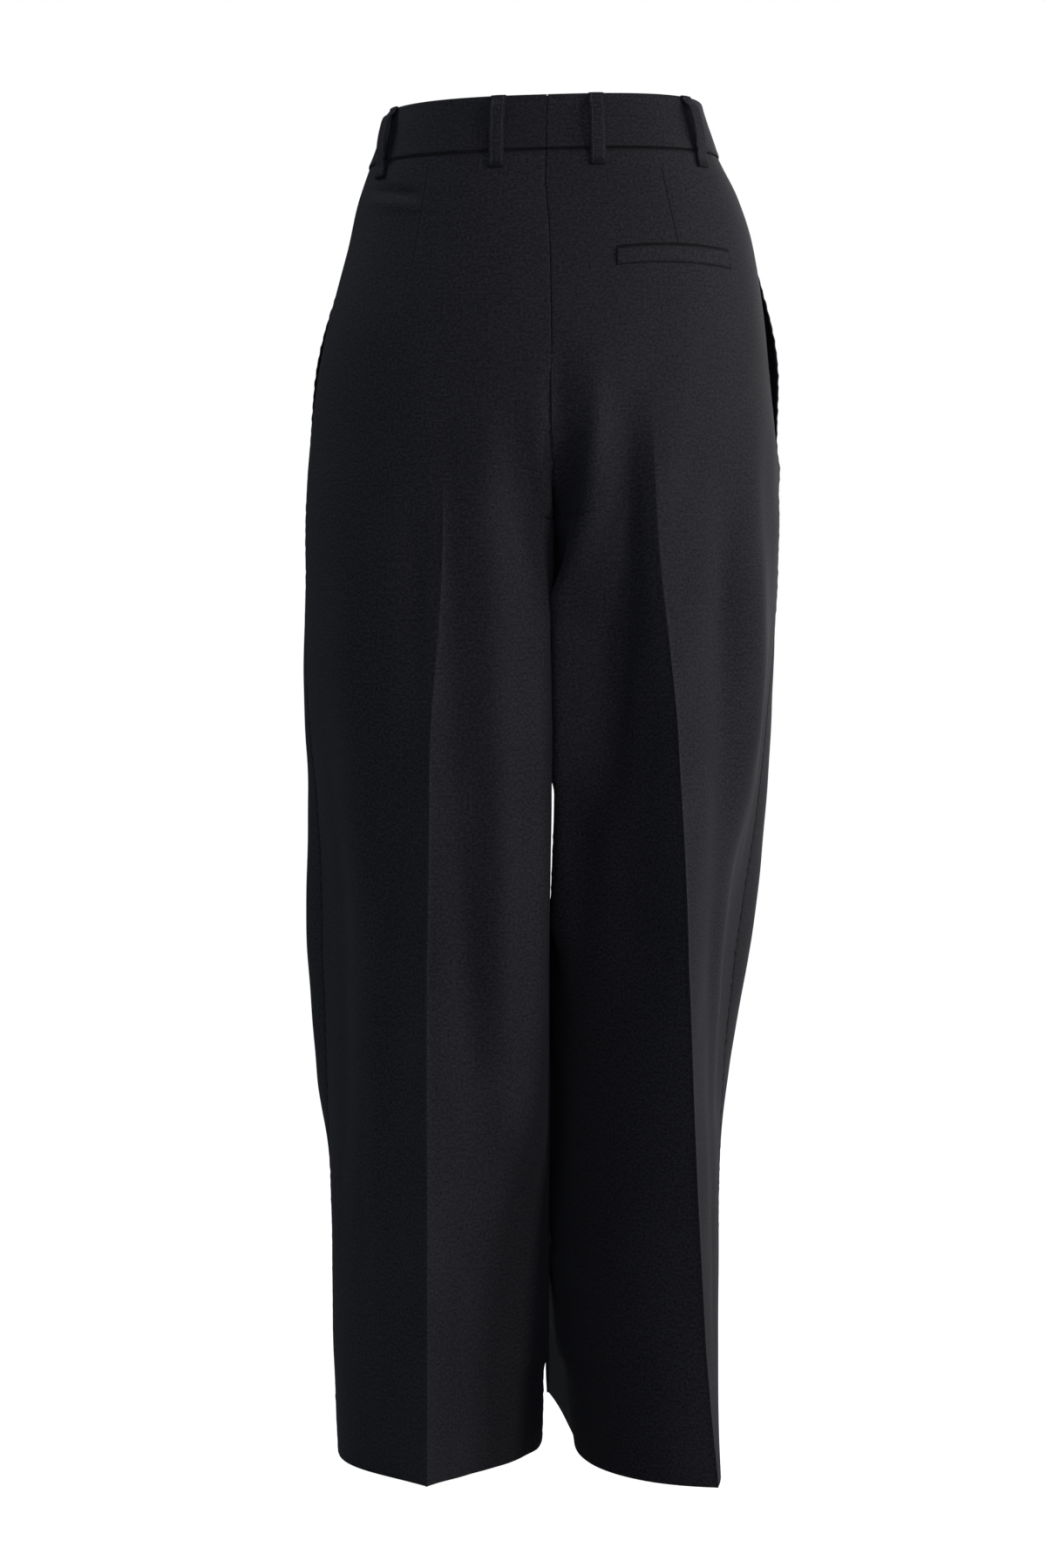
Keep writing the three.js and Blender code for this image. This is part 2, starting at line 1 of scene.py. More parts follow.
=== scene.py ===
"""Wide-leg palazzo trousers in dark wool twill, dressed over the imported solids.

Sizes in the tables are in millimetres, as in the part's source; meshes are made in metres.
"""

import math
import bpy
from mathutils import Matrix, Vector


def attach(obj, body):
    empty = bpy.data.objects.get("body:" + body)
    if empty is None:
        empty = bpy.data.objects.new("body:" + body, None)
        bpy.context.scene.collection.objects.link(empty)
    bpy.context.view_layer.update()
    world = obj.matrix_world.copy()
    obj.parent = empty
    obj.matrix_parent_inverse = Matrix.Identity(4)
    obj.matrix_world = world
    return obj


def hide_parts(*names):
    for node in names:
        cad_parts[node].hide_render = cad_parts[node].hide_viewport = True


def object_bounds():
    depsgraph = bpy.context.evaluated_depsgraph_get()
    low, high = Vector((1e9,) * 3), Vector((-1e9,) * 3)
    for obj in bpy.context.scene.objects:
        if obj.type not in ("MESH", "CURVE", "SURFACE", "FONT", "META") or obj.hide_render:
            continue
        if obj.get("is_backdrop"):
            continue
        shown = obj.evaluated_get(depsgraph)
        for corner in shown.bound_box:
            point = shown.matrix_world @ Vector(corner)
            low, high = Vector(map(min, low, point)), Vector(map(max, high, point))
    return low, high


bl_info = {
    "name": "Palazzo Trousers",
    "version": (1, 0, 0),
    "blender": (4, 5, 0),
    "location": "3D View > Sidebar > Trousers",
    "description": "Builds hollow wide-leg trousers with pressed creases, loops, pockets and a soft studio",
    "category": "Object",
}

import bpy
import numpy as np
from bpy.props import FloatProperty, FloatVectorProperty, PointerProperty
from mathutils import Matrix, Vector

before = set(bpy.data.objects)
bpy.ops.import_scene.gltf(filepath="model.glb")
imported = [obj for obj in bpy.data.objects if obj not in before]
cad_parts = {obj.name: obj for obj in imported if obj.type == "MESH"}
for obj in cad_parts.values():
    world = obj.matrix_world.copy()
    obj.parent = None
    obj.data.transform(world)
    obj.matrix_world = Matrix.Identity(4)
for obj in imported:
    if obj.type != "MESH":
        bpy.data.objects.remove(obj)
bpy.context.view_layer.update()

MM = 0.001

# Main heights and gaps.
BAND_HEIGHT = 44
SEAM_Z = -BAND_HEIGHT / 2
CROTCH_Z = -310
HEM_Z = -1068
GAP = 0.3
HALF_GAP = GAP / 2

OVAL_COLUMNS = ("z", "left", "right", "back", "front", "square")
BAND_ROWS = (
    (24, 128.5, 124, 93, 90, 0.76),
    (8, 133.5, 129.5, 97, 93.5, 0.76),
    (-8, 138.5, 135.5, 101, 97, 0.77),
    (-24, 144, 141, 105, 100, 0.78),
)
TRUNK_ROWS = (
    (-10, 138, 135, 100.8, 96, 0.77),
    (-22, 142.2, 139.4, 103.6, 98.6, 0.78),
    (-55, 153, 155.5, 111, 103, 0.8),
    (-90, 163.5, 164, 118, 107, 0.82),
    (-125, 173.5, 169.5, 124, 110, 0.85),
    (-160, 182.5, 173.5, 128, 113, 0.87),
    (-200, 190, 176.5, 130.5, 115, 0.9),
    (-250, 196, 181, 131, 117, 0.9),
    (-310, 200, 184, 130, 119, 0.9),
    (-480, 199, 180, 128, 124, 0.9),
)
SWAY_ROWS = ((22, 0.8), (-45, 2.4), (-90, -0.9), (-150, -2.2), (-260, -3.2), (-520, -2.8), (-660, 0))
LEG_COLUMNS = (
    "z", "seam_across", "seam_along", "crease_across", "crease_along", "drop_in", "drop_out",
    "front_across", "front_along", "front_in", "front_out", "inseam_across", "inseam_along", "belly",
    "full",
)
LEG_ROWS = {
    "left": (
        (-310, 199.5, 3, 83, 129, 4, 4, 88, -119, 6, 6, 0, -5, 8, 0),
        (-400, 200, 0, 90, 127, 8, 12, 88, -123, 18, 18, 0.8, -8, 18, 0.6),
        (-520, 192, -6, 95.5, 128, 10, 24, 88, -126, 28, 28, 1.8, -15, 30, 0.9),
        (-640, 184, -10, 94.5, 130, 11, 32, 88, -128, 34, 34, 0.9, -22, 45, 0.95),
        (-760, 180, -12, 94.5, 132, 16, 39, 88, -130, 38, 38, 0.6, -30, 32, 0.85),
        (-850, 176.5, -10, 94, 134, 36, 44, 87, -132, 40, 40, 1, -40, 4, 0.4),
        (-960, 175, -8, 94, 138, 52, 48, 86, -135, 42, 42, 2.2, -50, 0, 0.1),
        (-1068, 171, -4, 94, 142, 60, 55, 85, -139, 42, 42, 5, -58, 0, 0),
    ),
    "right": (
        (-310, 183, 3, 85, 129, 6, 8, 85, -120, 6, 6, 0, -5, 8, 0),
        (-400, 180, -2, 93.5, 128, 20, 26, 82, -130, 18, 16, 1, -12, 16, 0),
        (-520, 170, -10, 100.5, 127, 26, 42, 70, -146, 30, 22, 2.2, -25, 24, 0),
        (-640, 155.5, -15, 108.5, 127, 28, 56, 50, -163, 48, 26, 0.5, -52, 40, 0),
        (-760, 142, -15, 113, 127, 28, 65, 26, -178, 62, 28, -1, -86, 25, 0),
        (-850, 138.5, -12, 117, 127, 26, 70, 9, -187, 72, 30, -1, -98, 3, 0),
        (-960, 136, -5, 122.5, 128, 14, 74, -1.5, -192, 78, 32, 7, -84, 0, 0),
        (-1068, 134, 4, 132, 130, 8, 79, -1, -193, 78, 34, 21, -58, 0, 0),
    ),
}

# Places round a leg: 0 and 4 are the inseam or centre seam, 1 and 3 the creases, 2 the outseam.
OUTSEAM = 2
FRONT_CREASE = 3
ROUND = 4

# Soft folds of the source: leg, place and height at the top and bottom, height out, half-width.
FOLDS = (
    ("right", 0.62, -200, 0.42, -760, 5.5, 0.17),
    ("right", 0.84, -215, 0.72, -820, -5, 0.16),
    ("right", 1.5, -300, 1.5, -840, 4, 0.16),
    ("right", 1.78, -330, 1.76, -860, -3.5, 0.16),
    ("right", 2.55, -330, 2.5, -980, 6, 0.26),
    ("right", 3.45, -280, 3.5, -900, -5, 0.2),
    ("left", 1.2, -280, 1.16, -860, -3.5, 0.13),
    ("left", 1.5, -240, 1.42, -900, 4, 0.17),
    ("left", 0.7, -260, 0.6, -820, 3, 0.2),
    ("left", 2.5, -300, 2.45, -940, 5, 0.24),
    ("left", 3.4, -290, 3.45, -880, -4.5, 0.2),
)
FOLD_RAMP = 0.3

# Slight folds that are too small for the solids, in the same columns.
SMALL_FOLDS = (
    ("right", 0.25, -330, 0.2, -700, 1.6, 0.07),
    ("right", 0.5, -640, 0.45, -1050, 1.4, 0.1),
    ("right", 1.32, -520, 1.3, -1040, -1.2, 0.09),
    ("right", 2.2, -420, 2.22, -900, 1.8, 0.1),
    ("right", 3.0, -240, 3.02, -420, 1.5, 0.12),
    ("left", 0.3, -340, 0.28, -760, 1.4, 0.08),
    ("left", 0.5, -620, 0.52, -1050, -1.2, 0.1),
    ("left", 1.7, -460, 1.66, -980, -1.5, 0.1),
    ("left", 1.35, -600, 1.32, -1040, 1.2, 0.08),
    ("left", 2.2, -420, 2.2, -900, 1.6, 0.1),
    ("left", 3.0, -240, 3.0, -420, 1.5, 0.12),
)
# Soft ridges and troughs of the back, seen in its plane: both ends, half-width and height.
BACK_FOLDS = (
    (150, -48, 92, -60, 3.6, -2.6),
    (146, -58, 90, -71, 4.5, 1.6),
    (-104, -196, -60, -205, 9, -0.5),
    (-9, -160, -7, -350, 11, -5),
    (82, -205, 75, -590, 11, -3.2),
    (76, -470, 52, -860, 12, -3),
    (46, -195, 39, -560, 17, 7.5),
    (39, -420, 34, -760, 15, 6.5),
    (38, -620, 24, -900, 13, 2.6),
    (13, -205, 9, -530, 16, 12),
    (7, -225, 6, -450, 8, 9),
    (9, -370, 10, -760, 10, 9),
    (10, -620, 11, -860, 9, 3),
    (123, -220, 124, -660, 9, 1.9),
    (102, -230, 102, -630, 8, -1.6),
    (-38, -160, -31, -440, 11, 7),
    (-33, -300, -26, -570, 10, 9),
    (-22, -450, -14, -720, 9, 7.5),
    (-36, -270, -7, -680, 8.5, 9.5),
    (-37, -290, -21, -560, 10, 12.5),
    (-25, -400, -11, -690, 9, 13),
    (-66, -190, -56, -450, 12, -5.5),
    (-57, -330, -43, -580, 10, -8.5),
    (-39, -470, -25, -720, 10, -3),
    (-163, -220, -160, -650, 12, 9.5),
    (-138, -240, -137, -650, 10, -5.2),
)
BACK_FOLD_RAMP = 0.42
# Where each back crease starts out of the flat seat: top, fullest and bottom heights, lift and reaches.
CREASE_STARTS = {"left": (-258, -325, -480, 3.8, 12, 14), "right": (-215, -305, -430, 7, 15, 26)}
# Waves that run through all the cloth: length across, length down, height and phase.
WAVES = (
    (67, 410, 0.5, 0.3),
    (41, 260, 0.3, 2.1),
    (103, 173, 0.35, 4.0),
    (29, 97, 0.12, 1.2),
    (59, 61, 0.12, 5.1),
)

# The legs press on each other between these heights: how far in, over what breadth, with what wave.
CONTACT_TOP_Z = -238
CONTACT_LOW_Z = -1014
CONTACT_PRESS = 2.2
CONTACT_SPREAD = 16
CONTACT_GAP = 0.06
CONTACT_WAVE = 1.1
CONTACT_WAVE_REACH = 8
# Where each leg's inner side stops, with the narrow gap below mid-thigh.
INNER_LIMIT_ROWS = (
    (-238, -3.2, -3.2), (-430, -2.6, -2.6), (-513, -2.1, -2.2), (-520, -2.1, -4.2), (-528, -2, -5.6),
    (-540, -1.9, -5.3), (-580, -1.2, -3.6), (-615, -0.5, -1.9), (-634, -0.1, -0.3), (-660, 0, 0),
    (-1068, 0, 0),
)

# The trunk turns into the legs between these heights.
BLEND_TOP_Z = -200
BLEND_LOW_Z = -500
SEAT_CURVE_TOP_Z = -228
FRONT_CURVE_TOP_Z = -236
CURVE_REACH = 1.15
CREASE_SHARE = 0.0222
UPRIGHT_HANDLE = 0.4523
CREASE_HANDLE = 0.36
HEM_LIFT = {"left": (3, 3), "right": (0, 22)}
HEM_LIFT_HEIGHT = 320
WAIST_TILT = 0.03
TILT_LOW_Z = -230

SEAM_ALLOWANCE = 10
ALLOWANCE_DEPTH = 1.7
ALLOWANCE_THICK = 0.9

POCKET_TOP_Z = -92
POCKET_LOW_Z = -272
POCKET_STAND_OUT = {"left": 3, "right": 8}
POCKET_EASE_ROUND = 0.3

SIGN = {"left": 1, "right": -1}
LOOPS = (
    ("belt_loop_back_left", "left", 38, 38.5, False),
    ("belt_loop_back_right", "right", 38, 41.5, False),
    ("belt_loop_side_left", "left", 121, 131, False),
    ("belt_loop_side_right", "right", 109, 125, False),
    ("belt_loop_front_left", "left", 62, 65, True),
    ("belt_loop_front_right", "right", 62, 65, True),
)
LOOP_WIDTH = 12
# From the top edge down: height, lift off the cloth beneath and the loop's thickness.
LOOP_PATH = (
    (21.6, 0.3, 2.2), (18, 0.5, 2), (15, 2.6, 1.5), (11.5, 5.2, 1.4), (7, 5.9, 1.4), (0, 6, 1.4),
    (-8, 5.6, 1.4), (-15, 4.6, 1.4), (-20.5, 3, 1.4), (-24, 2.8, 1.5), (-28, 1, 2), (-31, 0.35, 2.4),
    (-36.5, 0.35, 2.4),
)
WELT = {"from": 52, "to": 141.5, "top": -100, "height": 14, "sag": 2.8}
FLY = {"width": 34, "bottom": -186, "curve": 38}
SHIELD = {"half_width": 26, "bottom": -196}
BAND_OVERLAP = {"reach": 32, "step": 3.1, "ramp_from": 40, "ramp_to": 6}
# Painted shade on each half of the waistband: how much darker it is painted than the panels, more on the left half.
BAND_PAINTED_SHADE = {"left": 0.2, "right": 0.04}

# The floor lies a little below the hems, and glows enough to pass into the white backdrop.
FLOOR_CLEARANCE = 0.02
FLOOR_GLOW = 1

LAMP_AIM = -0.2
# Lamps: name, turn to the right of the camera and rise in degrees, breadth and height, power, colour.
LAMPS = (
    ("key_light", 95, 5, (1.1, 2), 17.5, (1, 1, 0.97)),
    ("side_light", 75, 15, (0.5, 1.1), 18.5, (1, 0.95, 1)),
    ("quarter_light", 52, 13, (0.5, 1.2), 19, (1, 1, 0.97)),
    ("back_light", 0, 15, (2, 2.2), 21.5, (0.85, 0.88, 1)),
    ("rim_light", -104, 46, (1, 1.5), 18, (0.88, 0.96, 1)),
    ("left_light", -75, 15, (1.2, 2), 1.5, (0.2, 0.8, 1)),
    ("front_light", 148, 12, (2, 2.2), 24, (1, 1, 1)),
)

BUTTON = {"across": 15, "radius": 8, "thick": 2.4, "hole_radius": 0.8, "hole_spacing": 2.4}


def smooth(x):
    x = np.clip(x, 0, 1)
    return x * x * (3 - 2 * x)


def mix(a, b, t):
    return a + (b - a) * t


class Table:
    """Rows by height, read with a smooth curve that doesn't overshoot."""

    def __init__(self, columns, rows):
        data = np.array(rows, float)
        self.down = -data[:, 0]
        self.values = dict(zip(columns, data.T))

    def at(self, name, z):
        x, y = self.down, self.values[name]
        q = np.clip(-np.asarray(z, float), x[0], x[-1])
        i = np.clip(np.searchsorted(x, q, side="right") - 1, 0, len(x) - 2)
        step = np.diff(x)
        slope = np.diff(y) / step
        tangent = np.concatenate([slope[:1], np.zeros(len(x) - 2), slope[-1:]])
        same = slope[:-1] * slope[1:] > 0
        total = np.where(same, slope[:-1] + slope[1:], 1)
        tangent[1:-1] = np.where(same, 2 * slope[:-1] * slope[1:] / total, 0)
        t = (q - x[i]) / step[i]
        a, b = y[i], y[i + 1]
        ta, tb = tangent[i] * step[i], tangent[i + 1] * step[i]
        return (
            a * (1 + 2 * t) * (1 - t) ** 2
            + ta * t * (1 - t) ** 2
            + b * t * t * (3 - 2 * t)
            + tb * t * t * (t - 1)
        )


BAND = Table(OVAL_COLUMNS, BAND_ROWS)
TRUNK = Table(OVAL_COLUMNS, TRUNK_ROWS)
SWAY = Table(("z", "across"), SWAY_ROWS)
LEGS = {side: Table(LEG_COLUMNS, rows) for side, rows in LEG_ROWS.items()}
INNER_LIMITS = Table(("z", "left", "right"), INNER_LIMIT_ROWS)


def oval(table, side, u, z):
    back = u <= OUTSEAM
    share = np.where(back, u / 2, (ROUND - u) / 2)
    turn = math.pi / 2 * (CREASE_SHARE * share + (1 - CREASE_SHARE) * share**2)
    square = table.at("square", z)
    across = table.at(side, z) * np.sin(turn) ** square
    depth = np.where(back, table.at("back", z), table.at("front", z))
    along = depth * np.maximum(0, np.cos(turn)) ** square
    return across, np.where(back, along, -along)


def leg_section(side, u, z):
    """A leg's section: four curves that meet at the inseam, the creases and the outseam."""

    def value(name):
        return LEGS[side].at(name, z)

    inseam = (value("inseam_across"), value("inseam_along"))
    seam = (value("seam_across"), value("seam_along"))
    crease = (value("crease_across"), value("crease_along"))
    front = (value("front_across"), value("front_along"))
    belly = value("belly")

    def beside(tip, foot, drop, towards, full=0):
        reach = CREASE_HANDLE * np.hypot(tip[0] - foot[0], tip[1] - foot[1])
        reach = mix(reach, np.abs(tip[0] - foot[0]), full)
        angle = np.radians(value(drop))
        return (
            tip[0] + np.sign(foot[0] - tip[0]) * reach * np.cos(angle),
            tip[1] + towards * reach * np.sin(angle),
        )

    def upright(foot, tip, lean, full=0):
        return (foot[0] + lean, foot[1] + mix(UPRIGHT_HANDLE, 1, full) * (tip[1] - foot[1]))

    full = value("full")
    inner_back = (upright(inseam, crease, 0, full), beside(crease, inseam, "drop_in", -1, full))
    curves = (
        (inseam, *inner_back, crease),
        (crease, beside(crease, seam, "drop_out", -1), upright(seam, crease, -belly / 2), seam),
        (seam, upright(seam, front, belly), beside(front, seam, "front_out", 1), front),
        (front, beside(front, inseam, "front_in", 1), upright(inseam, front, 0), inseam),
    )
    quarter = np.clip(np.floor(u), 0, 3).astype(int)
    t = u - quarter
    weights = ((1 - t) ** 3, 3 * t * (1 - t) ** 2, 3 * t * t * (1 - t), t**3)
    result = []
    for axis in (0, 1):
        value_of = [sum(w * p[axis] for w, p in zip(weights, curve)) for curve in curves]
        result.append(np.choose(quarter, value_of))
    return result


def leg_share(u, z):
    from_edge = np.minimum(u, ROUND - u)
    away = smooth(from_edge / CURVE_REACH)
    top = mix(np.where(u < OUTSEAM, SEAT_CURVE_TOP_Z, FRONT_CURVE_TOP_Z), BLEND_TOP_Z, away)
    low = mix(CROTCH_Z, BLEND_LOW_Z, away)
    down = np.clip((top - z) / (top - low), 0, 1)
    return mix(1 - np.sqrt(1 - down**2), smooth(down), smooth(from_edge / 0.6))


def wrapped(u, z):
    return np.where(z <= CROTCH_Z, u % ROUND, np.clip(u, 0, ROUND))


def placed(x, y, z):
    tilt = WAIST_TILT * smooth((z - TILT_LOW_Z) / (SEAM_Z - TILT_LOW_Z))
    return np.stack(np.broadcast_arrays(x + SWAY.at("across", z), y, z - tilt * x), -1)


def plain_body(side, u, z):
    u, z = np.asarray(u, float), np.asarray(z, float)
    u = wrapped(u, z)
    share = leg_share(u, z)
    flat = oval(TRUNK, side, u, z)
    leg = leg_section(side, u, z)
    x, y = (mix(a, b, share) for a, b in zip(flat, leg))
    forward = np.sin(math.pi * np.clip((u - 1.4) / (ROUND - 1.4), 0, 1)) ** 2
    all_round, front = HEM_LIFT[side]
    lift = (all_round + front * forward) * smooth((HEM_Z + HEM_LIFT_HEIGHT - z) / HEM_LIFT_HEIGHT)
    return placed(SIGN[side] * (HALF_GAP + x), y, z + lift)


def outward(surface, side, u, z):
    """The direction out of a surface, from points a little to each side."""
    lowest = np.maximum(HEM_Z, z - 1.5)
    across = surface(side, u + 0.01, z) - surface(side, u - 0.01, z)
    up = surface(side, u, z + 1.5) - surface(side, u, lowest)
    normal = np.cross(across, up)
    normal /= np.linalg.norm(normal, axis=-1, keepdims=True) + 1e-12
    return -normal if side == "left" else normal


def fold_height(folds, side, u, z):
    height = np.zeros(np.broadcast(u, z).shape)
    for leg, top_u, top_z, low_u, low_z, out, half_width in folds:
        if leg != side:
            continue
        down = np.clip((top_z - z) / (top_z - low_z), 0, 1)
        centre = mix(top_u, low_u, down)
        ends = smooth(down / FOLD_RAMP) * smooth((1 - down) / FOLD_RAMP)
        height = height + out * ends * np.exp(-(((u - centre) / half_width) ** 2))
    return height


def back_fold_height(p):
    """Folds placed in the plane of the back, and the bulge where the right pocket ends."""
    x, y, z = p[..., 0], p[..., 1], p[..., 2]
    height = np.zeros(x.shape)
    for x0, z0, x1, z1, width, out in BACK_FOLDS:
        along = np.array([x1 - x0, z1 - z0], float)
        length = np.hypot(*along)
        t = ((x - x0) * along[0] + (z - z0) * along[1]) / length**2
        side = ((x - x0) * along[1] - (z - z0) * along[0]) / length
        ends = smooth(t / BACK_FOLD_RAMP) * smooth((1 - t) / BACK_FOLD_RAMP)
        height = height + out * ends * np.exp(-((side / width) ** 2))
    height = height * smooth((y - 5) / 30)
    tack = np.exp(-((z + 268) / 13) ** 2 - ((y + 2) / 16) ** 2) * (x < -100)
    return height + 2.4 * tack


def wave_height(p):
    x, y, z = p[..., 0], p[..., 1], p[..., 2]
    round_way = x * 0.8 + y * 0.6
    total = 0
    for across, down, height, phase in WAVES:
        total = total + height * np.sin(2 * math.pi * (round_way / across + z / down) + phase)
        total = total * 0.92
    return total * smooth((-60 - z) / 260)


def folded_body(side, u, z):
    """The cloth's outer face with its folds, before the legs press on each other."""
    u, z = np.asarray(u, float), np.asarray(z, float)
    p = plain_body(side, u, z)
    v = wrapped(u, z)
    out = fold_height(FOLDS, side, v, z) + fold_height(SMALL_FOLDS, side, v, z)
    out = out + back_fold_height(p) + wave_height(p)
    return p + outward(plain_body, side, u, z) * out[..., None]


def inner_reach():
    """How far each leg's inner side lies from its limit, height by height."""
    z = np.linspace(CONTACT_TOP_Z, HEM_Z, 220)
    reach = {}
    for side, sign in SIGN.items():
        places = np.concatenate([np.linspace(0, 0.8, 60), np.linspace(3.2, ROUND, 60)])
        x = folded_body(side, places[None, :], z[:, None])[..., 0] * sign
        reach[side] = (z[::-1], (x.min(1) - sign * INNER_LIMITS.at(side, z))[::-1])
    return reach


def body(side, u, z):
    """The cloth's outer face, whose inner thighs lie against each other down to the hem's notch."""
    z = np.asarray(z, float)
    p = folded_body(side, u, z)
    sign = SIGN[side]
    heights, reach = REACH[side]
    limit = INNER_LIMITS.at(side, z) + CONTACT_WAVE * np.sin(p[..., 1] / CONTACT_WAVE_REACH + z / 90)
    away = sign * p[..., 0] - sign * INNER_LIMITS.at(side, z)
    nearest = np.interp(z, heights, reach)
    held = smooth((CONTACT_TOP_Z - z) / 40) * smooth((z - CONTACT_LOW_Z) / 28)
    push = held * np.maximum(0, nearest + CONTACT_PRESS) * np.exp(-(((away - nearest) / CONTACT_SPREAD) ** 2))
    clear = sign * (p[..., 0] - limit) - push - CONTACT_GAP
    kept = sign * limit + CONTACT_GAP + np.where(clear > 1, clear, np.exp(np.minimum(clear, 1) - 1))
    p = p.copy()
    p[..., 0] = sign * mix(sign * p[..., 0], kept, held)
    return p


REACH = inner_reach()


def front_body(side, u, z):
    """The front's outer face, whose edge stands out along the pocket."""
    along = np.clip((POCKET_TOP_Z - z) / (POCKET_TOP_Z - POCKET_LOW_Z), 0, 1)
    near = 1 - smooth((u - OUTSEAM) / POCKET_EASE_ROUND)
    out = POCKET_STAND_OUT[side] * np.sin(math.pi * along) ** 2 * near
    return body(side, u, z) + outward(plain_body, side, u, z) * out[..., None]


def band_face(side, u, z):
    u, z = np.broadcast_arrays(np.asarray(u, float), np.asarray(z, float))
    over = (u > ROUND) | (u < 0)
    inner = np.where(u > ROUND, 2 * ROUND - u, np.abs(u))
    other = "left" if side == "right" else "right"
    x_own, y_own = oval(BAND, side, inner, z)
    x_other, y_other = oval(BAND, other, inner, z)
    x = np.where(over, -(HALF_GAP + x_other), HALF_GAP + x_own)
    return placed(SIGN[side] * x, np.where(over, y_other, y_own), z)


def lifted(surface, side, u, z, distance):
    d = np.asarray(distance, float)
    d = d[..., None] if d.ndim else d
    return surface(side, u, z) + outward(surface, side, u, z) * d


def from_middle(p):
    return np.abs(p[..., 0] - SWAY.at("across", p[..., 2]))


def round_at(surface, side, across, z, front):
    """The place round a surface at a distance from the middle plane."""
    across, z = np.broadcast_arrays(np.asarray(across, float), np.asarray(z, float))
    near = np.full(across.shape, float(ROUND if front else 0))
    far = np.full(across.shape, float(OUTSEAM))
    for _ in range(40):
        middle = (near + far) / 2
        less = from_middle(surface(side, middle, z)) < across
        near, far = np.where(less, middle, near), np.where(less, far, middle)
    return (near + far) / 2


def kept_to_side(p, side, z):
    """Keeps a trunk wall's inner corners on their own side of the middle plane."""
    sway = SWAY.at("across", z)
    x = sway + SIGN[side] * np.maximum(HALF_GAP, SIGN[side] * (p[..., 0] - sway))
    p = p.copy()
    p[..., 0] = np.where(z < CONTACT_TOP_Z, p[..., 0], x)
    return p


# Mesh making.


def mesh_object(name, points, faces, uv=None, material=None):
    mesh = bpy.data.meshes.new(name)
    mesh.from_pydata((np.asarray(points).reshape(-1, 3) * MM).tolist(), [], faces)
    if uv is not None:
        layer = mesh.uv_layers.new(name="cut")
        loops = np.empty(len(mesh.loops), dtype=np.int32)
        mesh.loops.foreach_get("vertex_index", loops)
        layer.data.foreach_set("uv", (np.asarray(uv).reshape(-1, 2)[loops] * MM).ravel())
    mesh.polygons.foreach_set("use_smooth", [True] * len(mesh.polygons))
    mesh.update()
    obj = bpy.data.objects.new(name, mesh)
    bpy.context.scene.collection.objects.link(obj)
    if material is not None:
        mesh.materials.append(material)
    return obj


def grid_faces(rows, cols, start, flip):
    at = start + np.arange(rows * cols).reshape(rows, cols)
    quads = np.stack([at[:-1, :-1], at[:-1, 1:], at[1:, 1:], at[1:, :-1]], -1).reshape(-1, 4)
    return quads[:, ::-1] if flip else quads


def shell(name, face, back, uv, material):
    """A closed thin sheet from its outer and inner grids of points."""
    rows, cols = face.shape[:2]
    count = rows * cols
    outer = grid_faces(rows, cols, 0, False)
    inner = grid_faces(rows, cols, count, True)
    at = np.arange(count).reshape(rows, cols)
    loop = np.concatenate([at[0, :-1], at[:-1, -1], at[-1, :0:-1], at[:0:-1, 0]])
    after = np.roll(loop, -1)
    rim = np.stack([after, loop, loop + count, after + count], -1)
    quads = np.concatenate([outer, inner, rim])
    points = np.concatenate([face.reshape(-1, 3), back.reshape(-1, 3)])
    a, b, c, d = (points[quads[:, i]] for i in range(4))
    volume = np.einsum("ij,ij->i", a, np.cross(b, c) + np.cross(c, d)).sum()
    if volume < 0:
        quads = quads[:, ::-1]
    both = None if uv is None else np.concatenate([uv.reshape(-1, 2)] * 2)
    return mesh_object(name, points, quads.tolist(), both, material)


def seam_shade(obj, values):
    """Keeps how dark the cloth is painted at each point of a shell: dark seam lines, and painted shade in grooves,
    under turned edges and where light is kept off.
    """
    both = np.concatenate([np.ravel(values)] * 2).astype(np.float32)
    obj.data.attributes.new("seam_shade", "FLOAT", "POINT").data.foreach_set("value", both)
    return obj


def bell(x, width):
    return np.exp(-((x / width) ** 2))


def arc_places(surface, side, z_rows, start, end, offsets):
    """Places round the leg at given distances along each row, from the start or, if negative, the end."""
    samples = np.linspace(start, end, 65)
    z = np.asarray(z_rows, float)[:, None]
    p = surface(side, samples[None, :], z)
    length = np.concatenate(
        [np.zeros((len(z), 1)), np.cumsum(np.linalg.norm(np.diff(p, axis=1), axis=-1), 1)], 1
    )
    places, distances = [], []
    for row in length:
        s = offsets(row[-1])
        places.append(np.interp(s, row, samples))
        distances.append(s)
    return np.array(places), np.array(distances)


def quarter_steps(count, edge_first):
    """Distances along a quarter: close together at the seam edge and at the crease."""

    def steps(length):
        edge = np.array([HALF_GAP, 0.5, 0.9, 1.4, 2.2, 3.4, 5.2])
        crease = length - np.array([4.2, 2.2, 1.1, 0.45, 0])
        middle = np.linspace(edge[-1], crease[0], count)[1:-1]
        s = np.concatenate([edge, middle, crease])
        return s if edge_first else length - s[::-1]

    return steps


# Materials.


